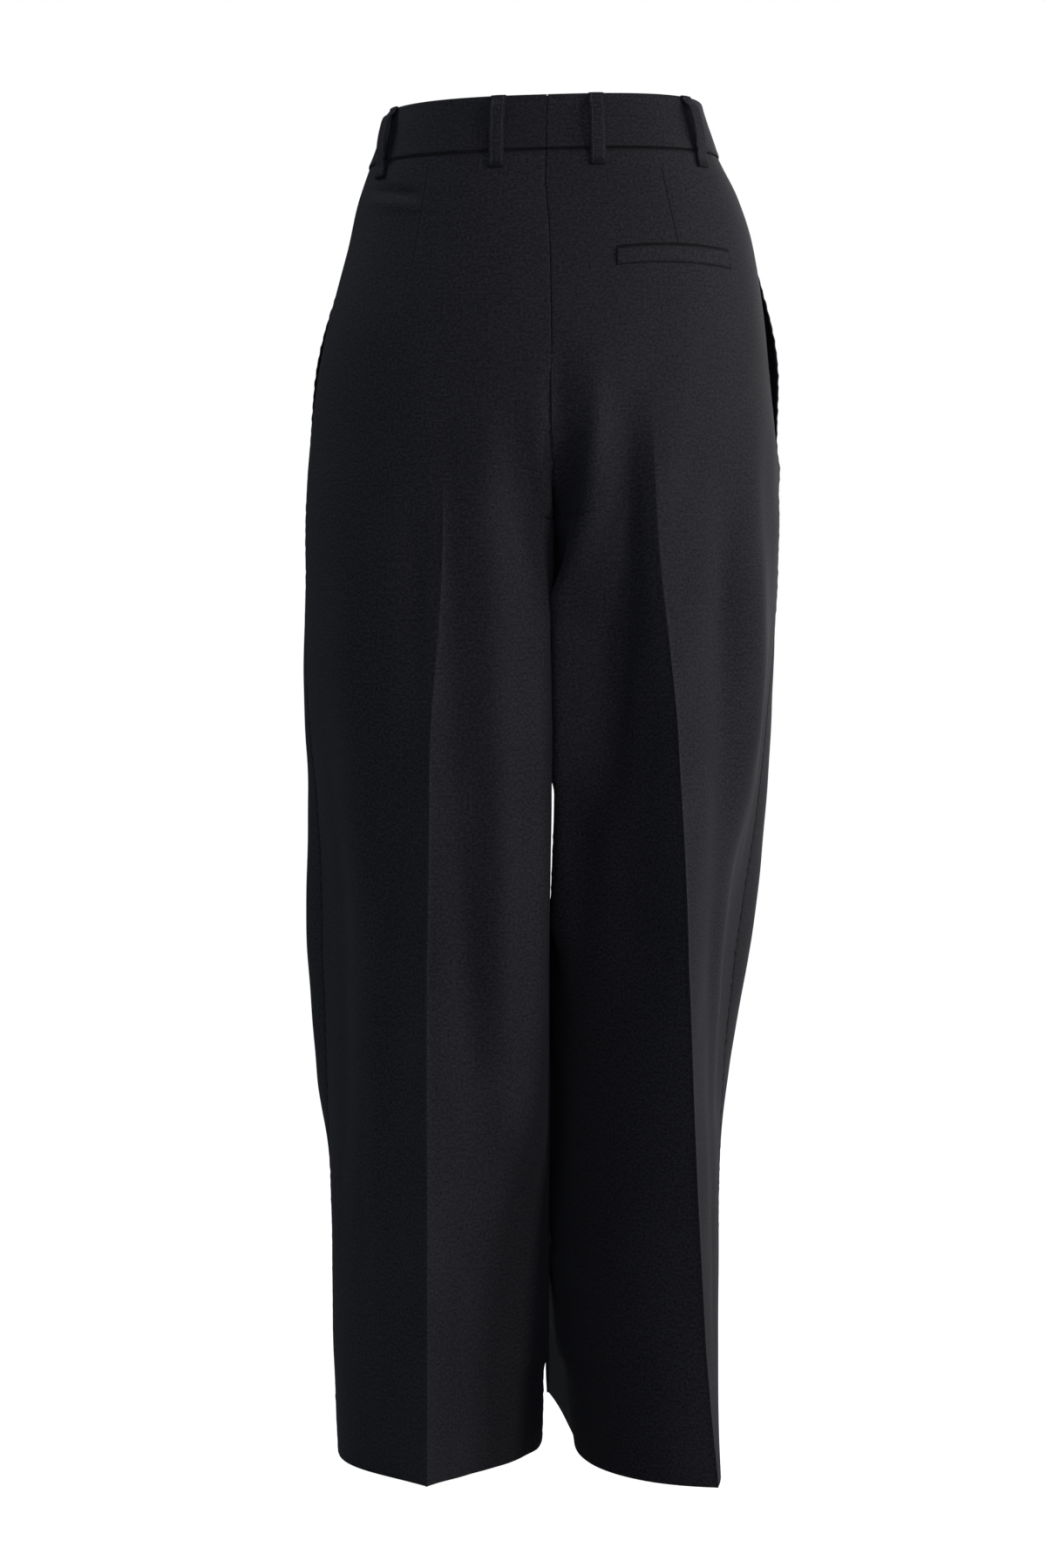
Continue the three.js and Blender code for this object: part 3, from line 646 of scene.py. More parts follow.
class Nodes:
    """A short way to add and join shader nodes."""

    def __init__(self, tree):
        self.tree = tree

    def add(self, kind, **settings):
        node = self.tree.nodes.new(kind)
        for key, value in settings.items():
            setattr(node, key, value)
        return node

    def join(self, output, target):
        self.tree.links.new(output, target)

    def put(self, target, value):
        if isinstance(value, bpy.types.NodeSocket):
            self.join(value, target)
        else:
            target.default_value = value

    def math(self, operation, a, b=None, c=None, clamp=False):
        node = self.add("ShaderNodeMath", operation=operation, use_clamp=clamp)
        for i, value in enumerate((a, b, c)):
            if value is not None:
                self.put(node.inputs[i], value)
        return node.outputs[0]

    def vector(self, operation, a, b=None):
        node = self.add("ShaderNodeVectorMath", operation=operation)
        for i, value in enumerate((a, b)):
            if value is not None:
                self.put(node.inputs[i], value)
        return node.outputs["Value" if operation in ("LENGTH", "DOT_PRODUCT") else "Vector"]

    def noise(self, vector, scale, detail=2, roughness=0.5):
        node = self.add("ShaderNodeTexNoise")
        self.put(node.inputs["Vector"], vector)
        self.put(node.inputs["Scale"], scale)
        self.put(node.inputs["Detail"], detail)
        self.put(node.inputs["Roughness"], roughness)
        return node.outputs["Fac"]

    def blend(self, factor, a, b):
        node = self.add("ShaderNodeMix", data_type="RGBA")
        self.put(node.inputs["Factor"], factor)
        self.put(node.inputs["A"], a)
        self.put(node.inputs["B"], b)
        return node.outputs["Result"]

    def bump(self, height, distance, strength=1.0, normal=None):
        node = self.add("ShaderNodeBump")
        self.put(node.inputs["Height"], height)
        node.inputs["Distance"].default_value = distance
        node.inputs["Strength"].default_value = strength
        if normal is not None:
            self.join(normal, node.inputs["Normal"])
        return node.outputs["Normal"]


def new_group(name, inputs, outputs):
    tree = bpy.data.node_groups.new(name, "ShaderNodeTree")
    for kind, label, value in inputs:
        socket = tree.interface.new_socket(name=label, in_out="INPUT", socket_type=kind)
        if value is not None:
            socket.default_value = value
    for kind, label in outputs:
        tree.interface.new_socket(name=label, in_out="OUTPUT", socket_type=kind)
    nodes = Nodes(tree)
    return nodes, nodes.add("NodeGroupInput").outputs, nodes.add("NodeGroupOutput").inputs


def twill_group():
    """Fine diagonal ribs with yarn crossings, and slubs that run across the cloth."""
    name = "twill_weave"
    if name in bpy.data.node_groups:
        return bpy.data.node_groups[name]
    n, given, out = new_group(
        name,
        [("NodeSocketVector", "Cloth place", None), ("NodeSocketFloat", "Rib pitch", 0.0009)],
        [("NodeSocketFloat", "Height"), ("NodeSocketFloat", "Slub"), ("NodeSocketFloat", "Grain")],
    )
    part = n.add("ShaderNodeSeparateXYZ")
    n.join(given["Cloth place"], part.inputs[0])
    across = n.math("DIVIDE", part.outputs[0], given["Rib pitch"])
    down = n.math("DIVIDE", part.outputs[1], given["Rib pitch"])
    rib = n.math("SINE", n.math("MULTIPLY", n.math("ADD", across, down), 2 * math.pi))
    crossing = n.math("SINE", n.math("MULTIPLY", n.math("SUBTRACT", across, down), math.pi))
    height = n.math("MULTIPLY_ADD", crossing, 0.3, n.math("MULTIPLY", rib, 0.7))
    n.join(n.math("MULTIPLY_ADD", height, 0.5, 0.5), out["Height"])
    stretched = n.vector("MULTIPLY", given["Cloth place"], (80.0, 520.0, 1.0))
    n.join(n.noise(stretched, 1.0, 3, 0.6), out["Slub"])
    fine = n.vector("MULTIPLY", given["Cloth place"], (440.0, 500.0, 1.0))
    n.join(n.noise(fine, 1.0, 2, 0.65), out["Grain"])
    return n.tree


def line_group():
    """A soft line between two points of a plane, for a dart's stitched seam."""
    name = "stitched_line"
    if name in bpy.data.node_groups:
        return bpy.data.node_groups[name]
    n, given, out = new_group(
        name,
        [
            ("NodeSocketVector", "Place", None),
            ("NodeSocketVector", "From", None),
            ("NodeSocketVector", "To", None),
            ("NodeSocketFloat", "Half width", 0.0006),
        ],
        [("NodeSocketFloat", "Mask")],
    )
    flat = n.vector("MULTIPLY", given["Place"], (1.0, 0.0, 1.0))
    run = n.vector("SUBTRACT", given["To"], given["From"])
    own = n.vector("SUBTRACT", flat, given["From"])
    squared = n.vector("DOT_PRODUCT", run, run)
    t = n.math("DIVIDE", n.vector("DOT_PRODUCT", own, run), squared, clamp=True)
    nearest = n.add("ShaderNodeVectorMath", operation="SCALE")
    n.join(run, nearest.inputs[0])
    n.join(t, nearest.inputs["Scale"])
    away = n.vector("LENGTH", n.vector("SUBTRACT", own, nearest.outputs[0]))
    n.join(n.math("SUBTRACT", 1.0, n.math("DIVIDE", away, given["Half width"]), clamp=True), out["Mask"])
    return n.tree


def use_group(n, tree, **values):
    node = n.add("ShaderNodeGroup", node_tree=tree)
    for key, value in values.items():
        n.put(node.inputs[key.replace("_", " ")], value)
    return node.outputs


def wool(settings, name="wool_twill", darts=()):
    """Dark wool twill, matt with a faint sheen, with the darts' seam lines where asked, painted near black partly as
    the shade of their grooves, and each mesh's seam lines and painted shade.
    """
    if name in bpy.data.materials:
        return bpy.data.materials[name]
    material = bpy.data.materials.new(name)
    material.use_nodes = True
    n = Nodes(material.node_tree)
    shader = material.node_tree.nodes["Principled BSDF"]
    place = n.add("ShaderNodeUVMap", uv_map="cut").outputs["UV"]
    weave = use_group(n, twill_group(), Cloth_place=place, Rib_pitch=settings.rib_pitch)
    tone = n.math("MULTIPLY_ADD", weave["Slub"], 0.7, n.math("MULTIPLY", weave["Grain"], 3.2))
    tone = n.math("ADD", n.math("SUBTRACT", tone, 1.51), n.math("MULTIPLY", weave["Height"], 0.12))
    worn = n.noise(place, 9.0, 3, 0.55)
    tone = n.math("MULTIPLY_ADD", n.math("SUBTRACT", worn, 0.5), 0.5, tone, clamp=True)
    colour = n.blend(tone, settings.cloth_dark[:] + (1.0,), settings.cloth_light[:] + (1.0,))
    normal = n.bump(weave["Height"], settings.rib_height)
    normal = n.bump(weave["Grain"], settings.grain_height, 1.0, normal)
    where = n.add("ShaderNodeTexCoord").outputs["Object"] if darts else None
    # Each dart's seam line is painted near black: its stitched line together with painted shade in its groove.
    for start, end, depth in darts:
        line = use_group(n, line_group(), Place=where, From=start, To=end, Half_width=0.001)["Mask"]
        colour = n.blend(n.math("MULTIPLY", line, depth), colour, (0.0012, 0.0012, 0.0015, 1.0))
        normal = n.bump(n.math("SUBTRACT", 1.0, line), 0.0007, 0.8, normal)
    # Mixes the cloth towards near black by the kept darkness: seam lines, and painted shade in grooves, under edges and
    # on shaded sides.
    shade = n.add("ShaderNodeAttribute", attribute_name="seam_shade").outputs["Fac"]
    colour = n.blend(shade, colour, (0.0012, 0.0012, 0.0015, 1.0))
    rough = n.math("MULTIPLY_ADD", weave["Grain"], 0.12, settings.roughness - 0.06)
    n.join(colour, shader.inputs["Base Color"])
    n.join(rough, shader.inputs["Roughness"])
    n.join(normal, shader.inputs["Normal"])
    shader.inputs["Specular IOR Level"].default_value = 0.22
    shader.inputs["Sheen Weight"].default_value = settings.sheen
    shader.inputs["Sheen Roughness"].default_value = 0.55
    shader.inputs["Sheen Tint"].default_value = (0.62, 0.64, 0.78, 1.0)
    return material


def plain_dark(name, colour, roughness, scale=900.0, bump=0.00005):
    """A dark plain material with a fine grain, for thread, pocketing, the button and the painted shadow in the back
    pocket's mouth.
    """
    if name in bpy.data.materials:
        return bpy.data.materials[name]
    material = bpy.data.materials.new(name)
    material.use_nodes = True
    n = Nodes(material.node_tree)
    shader = material.node_tree.nodes["Principled BSDF"]
    where = n.add("ShaderNodeTexCoord").outputs["Object"]
    grain = n.noise(where, scale, 2, 0.6)
    lighter = tuple(c * 1.7 for c in colour) + (1.0,)
    n.join(n.blend(grain, tuple(colour) + (1.0,), lighter), shader.inputs["Base Color"])
    n.join(n.math("MULTIPLY_ADD", grain, 0.14, roughness - 0.07), shader.inputs["Roughness"])
    n.join(n.bump(grain, bump), shader.inputs["Normal"])
    shader.inputs["Specular IOR Level"].default_value = 0.35
    return material


# Settings.


class TrousersCloth(bpy.types.PropertyGroup):
    """Sizes and colours of the cloth."""

    thickness: FloatProperty(
        name="Thickness", description="Thickness of the panels' cloth",
        default=0.0013, unit="LENGTH", min=0.0003, precision=5,
    )
    seam_depth: FloatProperty(
        name="Seam depth", description="How far the cloth turns in at a seam",
        default=0.0008, unit="LENGTH", precision=5,
    )
    seam_width: FloatProperty(
        name="Seam width", description="How wide the turn at a seam is",
        default=0.0009, unit="LENGTH", precision=5,
    )
    crease_height: FloatProperty(
        name="Crease height", description="How far a pressed crease stands out",
        default=0.0007, unit="LENGTH", precision=5,
    )
    pucker: FloatProperty(
        name="Pucker", description="Height of the pucker along seams",
        default=0.00028, unit="LENGTH", precision=5,
    )
    hem_depth: FloatProperty(
        name="Hem depth", description="Height of the turned-up hem",
        default=0.04, unit="LENGTH", precision=4,
    )
    rib_pitch: FloatProperty(
        name="Rib pitch", description="Distance between the twill's ribs",
        default=0.0009, unit="LENGTH", precision=5,
    )
    rib_height: FloatProperty(
        name="Rib height", description="Height of the twill's ribs",
        default=0.00004, unit="LENGTH", precision=6,
    )
    grain_height: FloatProperty(
        name="Grain height", description="Height of the cloth's uneven grain",
        default=0.00012, unit="LENGTH", precision=6,
    )
    roughness: FloatProperty(
        name="Roughness", description="Roughness of the cloth's surface", default=0.78, min=0, max=1
    )
    sheen: FloatProperty(
        name="Sheen", description="Weight of the cloth's soft sheen", default=0.045, min=0, max=1
    )
    cloth_dark: FloatVectorProperty(
        name="Dark yarn", description="Colour of the cloth's darker yarn",
        subtype="COLOR", default=(0.0058, 0.0056, 0.0075), min=0, max=1,
    )
    cloth_light: FloatVectorProperty(
        name="Light yarn", description="Colour of the cloth's lighter yarn",
        subtype="COLOR", default=(0.0275, 0.0265, 0.033), min=0, max=1,
    )
    thread: FloatVectorProperty(
        name="Thread", description="Colour of the sewing thread",
        subtype="COLOR", default=(0.042, 0.042, 0.05), min=0, max=1,
    )
    thread_radius: FloatProperty(
        name="Thread radius", description="Radius of a sewing stitch",
        default=0.00034, unit="LENGTH", precision=6,
    )
    stitch_length: FloatProperty(
        name="Stitch length", description="Distance between stitches",
        default=0.0022, unit="LENGTH", precision=5,
    )


class TrousersStage(bpy.types.PropertyGroup):
    """Camera and light."""

    distance: FloatProperty(
        name="Camera distance", description="From the middle of the trousers to the camera",
        default=3.2, unit="LENGTH",
    )
    height: FloatProperty(
        name="Camera height", description="Height of the camera over the waist's middle",
        default=-0.467, unit="LENGTH",
    )
    lens: FloatProperty(name="Lens", description="Focal length", default=90.63, unit="CAMERA")
    light: FloatProperty(
        name="Light", description="Share of every lamp's own power", default=1, min=0
    )
    lamp_distance: FloatProperty(
        name="Lamp distance", description="From the middle of the trousers to each lamp",
        default=2.8, unit="LENGTH",
    )
    ambient: FloatProperty(
        name="Ambient", description="Strength of the white surroundings as light", default=0.004
    )


def cloth():
    return bpy.context.scene.trousers_cloth


def finished(obj, nodes):
    """Rides on the one body and replaces the solids it stands for."""
    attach(obj, "root")
    if nodes:
        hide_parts(*nodes)
    return obj


def thread_material():
    return plain_dark("sewing_thread", tuple(cloth().thread), 0.7, 1500.0)


def stitch_points(path, normals, length, gap=0.3):
    """Cuts a path into stitches: start, end and outward direction of each."""
    steps = np.linalg.norm(np.diff(path, axis=0), axis=1)
    along = np.concatenate([[0], np.cumsum(steps)])
    count = max(1, int(round(along[-1] / length)))
    edges = np.linspace(0, along[-1], count + 1)
    pieces = []
    for a, b in zip(edges[:-1], edges[1:]):
        inset = (b - a) * gap / 2
        ends = [np.array([np.interp(s, along, path[:, i]) for i in range(3)]) for s in (a + inset, b - inset)]
        normal = np.array([np.interp((a + b) / 2, along, normals[:, i]) for i in range(3)])
        pieces.append((ends[0], ends[1], normal / np.linalg.norm(normal)))
    return pieces


def stitches(name, pieces, radius):
    """One mesh of small thread stitches, each a bowed six-sided strand."""
    points, faces = [], []
    sides, rings = 6, 5
    for start, end, normal in pieces:
        run = (end - start) / np.linalg.norm(end - start)
        aside = np.cross(run, normal)
        base = len(points)
        for r in range(rings):
            t = r / (rings - 1)
            size = radius * (0.45 + 0.55 * math.sin(math.pi * t) ** 0.5)
            centre = start + (end - start) * t + normal * radius * (1.1 * math.sin(math.pi * t) - 0.35)
            for k in range(sides):
                angle = 2 * math.pi * k / sides
                points.append(centre + size * (math.cos(angle) * aside + math.sin(angle) * normal))
        for r in range(rings - 1):
            for k in range(sides):
                a, b = base + r * sides + k, base + r * sides + (k + 1) % sides
                faces.append([a, b, b + sides, a + sides])
        faces.append([base + k for k in range(sides)][::-1])
        faces.append([base + (rings - 1) * sides + k for k in range(sides)])
    return mesh_object(name, np.array(points), faces, None, thread_material())


class TROUSERS_OT_leg_panels(bpy.types.Operator):
    """Builds the two backs and two fronts with seams, pressed creases, folds and turned hems"""

    bl_idname = "trousers.leg_panels"
    bl_label = "Leg panels"

    def execute(self, context):
        top = np.array([SEAM_Z - GAP, -22.9, -23.6, -24.8, -27, -30])
        trunk = np.linspace(-30, CROTCH_Z, 92)[1:-1]
        around = np.array([CROTCH_Z])
        leg = np.linspace(CROTCH_Z, HEM_Z + 44, 190)[1:-1]
        low = HEM_Z + np.array([44, 42, 41, 40, 39, 38, 32, 26, 20, 14, 9, 5, 3, 1.6, 0.8, 0.3, 0])
        z = np.concatenate([top, trunk, around, leg, low])
        for side in ("left", "right"):
            for end in ("back", "front"):
                self.panel(side, end, z)
        return {"FINISHED"}

    def panel(self, side, end, z):
        settings = cloth()
        surface = body if end == "back" else front_body
        first = 0 if end == "back" else OUTSEAM
        counts = 36
        a_u, a_s = arc_places(surface, side, z, first, first + 1, quarter_steps(counts, True))
        b_u, b_s = arc_places(surface, side, z, first + 1, first + 2, quarter_steps(counts, False))
        u = np.concatenate([a_u, b_u[:, 1:]], 1)
        from_first = np.concatenate([a_s, a_s[:, -1:] + b_s[:, 1:]], 1)
        total = (a_s[:, -1] + b_s[:, -1] + HALF_GAP)[:, None]
        from_last = total - from_first
        zz = z[:, None]
        p = surface(side, u, zz)
        normal = outward(surface, side, u, zz)
        from_seam = np.minimum(from_first, from_last)
        depth, width = settings.seam_depth / MM, settings.seam_width / MM
        soft = 0.4 if end == "back" else 1
        dip = depth * np.where(zz > CROTCH_Z, soft, 1) * bell(from_seam, width)
        dip += 0.9 * bell(SEAM_Z - GAP - zz, 1.1)
        hem = HEM_Z - zz
        dip += 0.55 * np.exp(-((hem / 0.8) ** 2))
        run = np.concatenate([[0], np.cumsum(np.linalg.norm(np.diff(p[:, len(a_u[0]) - 1], axis=0), axis=1))])
        wave = np.sin(2 * math.pi * run / 9.5 + 0.7 * np.sin(run / 37)) + 0.5 * np.sin(run / 2.3 + 1)
        pucker = settings.pucker / MM * wave[:, None] * np.exp(-((from_seam / 7) ** 2))
        from_crease = from_first - a_s[:, -1:]
        sharp = smooth((-230 - zz) / 200)
        ridge = settings.crease_height / MM * sharp * bell(from_crease, 1.1)
        if end == "back":
            top, full, low, lift, inner_reach, outer_reach = CREASE_STARTS[side]
            grows = smooth((top - zz) / (top - full)) * smooth((zz - low) / (full - low))
            away = np.where(from_crease < 0, -from_crease / inner_reach, from_crease / outer_reach)
            p = p + normal * (lift * grows * np.exp(-away))[..., None]
        face = p + normal * (ridge + pucker - dip)[..., None]
        hem_fold = smooth((HEM_Z + settings.hem_depth / MM + 0.8 - zz) / 1.6)
        thick = settings.thickness / MM * (1 + 0.8 * hem_fold)
        inner = thick - 0.5 * np.exp(-((hem / 0.8) ** 2))
        back = p + normal * (pucker - np.maximum(inner, dip + 0.35))[..., None]
        face, back = (kept_to_side(q, side, zz) for q in (face, back))
        uv = np.stack([from_crease * SIGN[side], np.broadcast_to(run[:, None], u.shape)], -1)
        darts = BACK_DARTS if end == "back" else ()
        name = f"{end}_{side}_cloth"
        material = wool(settings, "wool_back" if darts else "wool_twill", darts)
        obj = finished(shell(name, face, back, uv, material), [f"{end}_{side}"])
        # Seam lines painted dark, painted shade in the groove under the waistband's edge, and on the right leg painted
        # shade over the inner side near the hem.
        line = np.where(zz > CROTCH_Z, 0.22, 0.5) * bell(from_seam, 0.4)
        shade = np.maximum(line, bell(SEAM_Z - GAP - zz, 1.9))
        if side == "right":
            near = bell(from_first, 22) if end == "back" else smooth((140 - from_last) / 60)
            shade = np.maximum(shade, 0.75 * smooth((INNER_SHADE_Z - zz) / 60) * near)
        seam_shade(obj, shade)


# Below this height the right leg's inner side is painted with shade, where the left leg keeps the light off it.
INNER_SHADE_Z = -930

# Back darts: both ends in the back's plane, in metres, and how dark each seam line is painted, partly as painted shade
# in its groove.
BACK_DARTS = (
    ((0.0945, 0.0, -0.036), (0.1065, 0.0, -0.113), 0.95),
    ((-0.0885, 0.0, -0.036), (-0.1015, 0.0, -0.0965), 0.7),
)


class TROUSERS_OT_seam_allowances(bpy.types.Operator):
    """Builds the allowances inside the seams: pressed open, or standing up round the crotch"""

    bl_idname = "trousers.seam_allowances"
    bl_label = "Seam allowances"

    def execute(self, context):
        long = np.linspace(-300, HEM_Z + 1.2, 160)
        high = np.linspace(-24, -88, 20)
        for side in ("left", "right"):
            self.open_seam(f"inseam_allowance_{side}", side, 0, np.linspace(-330, HEM_Z + 1.2, 150))
            self.open_seam(f"outseam_allowance_{side}", side, OUTSEAM, long)
            self.open_seam(f"hip_allowance_{side}", side, OUTSEAM, high)
        self.centre_back()
        self.crotch()
        self.band()
        return {"FINISHED"}

    def finish(self, name, face, back, width, length):
        uv = np.stack(np.meshgrid(np.linspace(0, width, face.shape[1]), np.linspace(0, length, len(face))), -1)
        obj = finished(shell(name, face, back, uv + 2000, wool(cloth())), [])

    def open_seam(self, name, side, at, z):
        spread = np.linspace(-1, 1, 9) * SEAM_ALLOWANCE
        step = 0.01
        speed = np.linalg.norm(body(side, at + step, z) - body(side, at, z), axis=-1) / step
        u = (at + spread[None, :] / speed[:, None]) % (ROUND if at == 0 else 99)
        zz = z[:, None]
        ripple = 0.12 * np.sin(zz / 11 + spread[None, :])
        deep = ALLOWANCE_DEPTH + 0.8 * cloth().thickness / MM * smooth((HEM_Z + 48 - zz) / 6)
        face = lifted(body, side, u, zz, ripple - deep)
        back = lifted(body, side, u, zz, ripple - deep - ALLOWANCE_THICK)
        self.finish(name, face, back, 2 * SEAM_ALLOWANCE, abs(z[-1] - z[0]))

    def centre_back(self):
        z = np.linspace(-24, -196, 60)
        self.finish("centre_back_allowance", *self.across_middle(z, 0, 9), 18, 172)

    def across_middle(self, z, at, reach):
        """A strip over the centre seam, from one side to the other."""
        spread = np.array([reach, reach * 0.6, 1.2])
        columns = []
        for side in ("left", "right"):
            u = np.stack([round_at(folded_body, side, np.full(z.shape, s), z, at == ROUND) for s in spread], 1)
            pair = [lifted(body, side, u, z[:, None], -d) for d in (ALLOWANCE_DEPTH, ALLOWANCE_DEPTH + ALLOWANCE_THICK)]
            columns.append(pair)
        return [np.concatenate([columns[0][i], columns[1][i][:, ::-1]], 1) for i in (0, 1)]

    def crotch(self):
        """The crotch's allowance stands up inside, in the middle plane, from seat to fly."""
        back_z = np.linspace(-186, CROTCH_Z, 90)
        front_z = np.linspace(CROTCH_Z, FLY["bottom"] - 2, 90)[1:]
        rear = plain_body("left", 0.0, back_z)
        fore = plain_body("left", ROUND - 1e-6, front_z)
        line = np.concatenate([rear, fore])[:, 1:]
        steps = np.concatenate([[0], np.cumsum(np.linalg.norm(np.diff(line, axis=0), axis=1))])
        even = np.linspace(0, steps[-1], 120)
        line = np.stack([np.interp(even, steps, line[:, i]) for i in (0, 1)], 1)
        run = np.gradient(line, axis=0)
        inward = np.stack([run[:, 1], -run[:, 0]], 1) / np.linalg.norm(run, axis=1, keepdims=True)
        if inward[0, 0] > 0:
            inward = -inward
        depths = np.linspace(1.5, 12, 6)
        place = line[:, None, :] + inward[:, None, :] * depths[None, :, None]
        middle = SWAY.at("across", place[..., 1])
        wave = 0.5 * np.sin(even / 17)[:, None] * (depths / 10)[None, :]
        sides = [np.stack([middle + wave + half, place[..., 0], place[..., 1]], -1) for half in (0.9, -0.9)]
        self.finish("crotch_allowance", sides[0], sides[1], 10.5, steps[-1])

    def band(self):
        z = np.linspace(-SEAM_Z - 0.4, SEAM_Z + 0.4, 12)
        spread = np.array([8, 4, 1])
        columns = []
        for side in ("left", "right"):
            u = np.stack([round_at(band_face, side, np.full(z.shape, s), z, False) for s in spread], 1)
            columns.append([lifted(band_face, side, u, z[:, None], -d) for d in (2.7, 3.3)])
        face, back = (np.concatenate([columns[0][i], columns[1][i][:, ::-1]], 1) for i in (0, 1))
        self.finish("waistband_allowance", face, back, 16, 41)


class TROUSERS_OT_waistband(bpy.types.Operator):
    """Builds the waistband's two halves, which overlap at the front"""

    bl_idname = "trousers.waistband"
    bl_label = "Waistband"

    def execute(self, context):
        edge = np.array([0, 0.25, 0.6, 1.1, 1.9, 3.2])
        z = np.concatenate([-SEAM_Z - edge, np.linspace(18, -18, 16), (SEAM_Z + edge)[::-1]])
        reach = round_at(band_face, "left", BAND_OVERLAP["reach"], 0, True)
        for side in ("left", "right"):
            end = ROUND - 0.01 if side == "left" else 2 * ROUND - float(reach)
            self.half(side, z, end)
        return {"FINISHED"}

    def half(self, side, z, end):
        def steps(length):
            edge = np.array([HALF_GAP, 0.4, 0.8, 1.4, 2.4, 4])
            return np.concatenate([edge, np.linspace(4, length - 4, 170)[1:-1], length - edge[::-1]])

        u, s = arc_places(band_face, side, z, 0, end, steps)
        zz = np.broadcast_to(z[:, None], u.shape)
        p = band_face(side, u, zz)
        normal = outward(band_face, side, u, zz)
        out = np.zeros(u.shape)
        if side == "right":
            across = from_middle(p) * np.where(u > ROUND, -1, 1)
            ramp = (BAND_OVERLAP["ramp_from"] - across) / (
                BAND_OVERLAP["ramp_from"] - BAND_OVERLAP["ramp_to"]
            )
            out = BAND_OVERLAP["step"] * smooth(ramp) * (u > OUTSEAM)
        from_rim = np.minimum(-SEAM_Z - zz, zz - SEAM_Z)
        from_end = s[:, -1:] + HALF_GAP - s
        dip = 0.7 * bell(from_rim, 0.6) + 0.12 * bell(s, 0.6) + 0.8 * bell(from_end, 0.8)
        soft = 0.25 * np.sin(s / 19 + 1.3) * np.sin(math.pi * (zz - SEAM_Z) / BAND_HEIGHT)
        pucker = 0.16 * np.sin(zz * 2 * math.pi / 7.5) * np.exp(-((s / 6) ** 2))
        swell = 0.22 * np.exp(-(((from_rim - 2.4) / 1.6) ** 2))
        face = p + normal * (out + soft + pucker + swell - dip)[..., None]
        inner = 2.5 - 0.9 * np.exp(-((from_rim / 0.7) ** 2))
        back = p + normal * (out + soft - np.maximum(inner, dip + 0.4))[..., None]
        back[..., 2] = mix(back[..., 2], p[..., 2], 0.85)
        face, back = self.kept(face, side, u, zz), self.kept(back, side, u, zz)
        uv = np.stack([s * SIGN[side], zz + 400.0], -1)
        obj = shell(f"waistband_{side}_cloth", face, back, uv, wool(cloth()))
        finished(obj, [f"waistband_{side}"])
        # A dark line at the centre seam, painted shade along the band's lower edge, and each half's painted shade.
        lines = np.maximum(0.3 * bell(s, 0.35), bell(zz - SEAM_Z, 0.9))
        seam_shade(obj, np.maximum(lines, BAND_PAINTED_SHADE[side]))

    def kept(self, p, side, u, z):
        sway = SWAY.at("across", z)
        x = sway + SIGN[side] * np.maximum(HALF_GAP, SIGN[side] * (p[..., 0] - sway))
        p = p.copy()
        p[..., 0] = np.where(u < 1, x, p[..., 0])
        return p


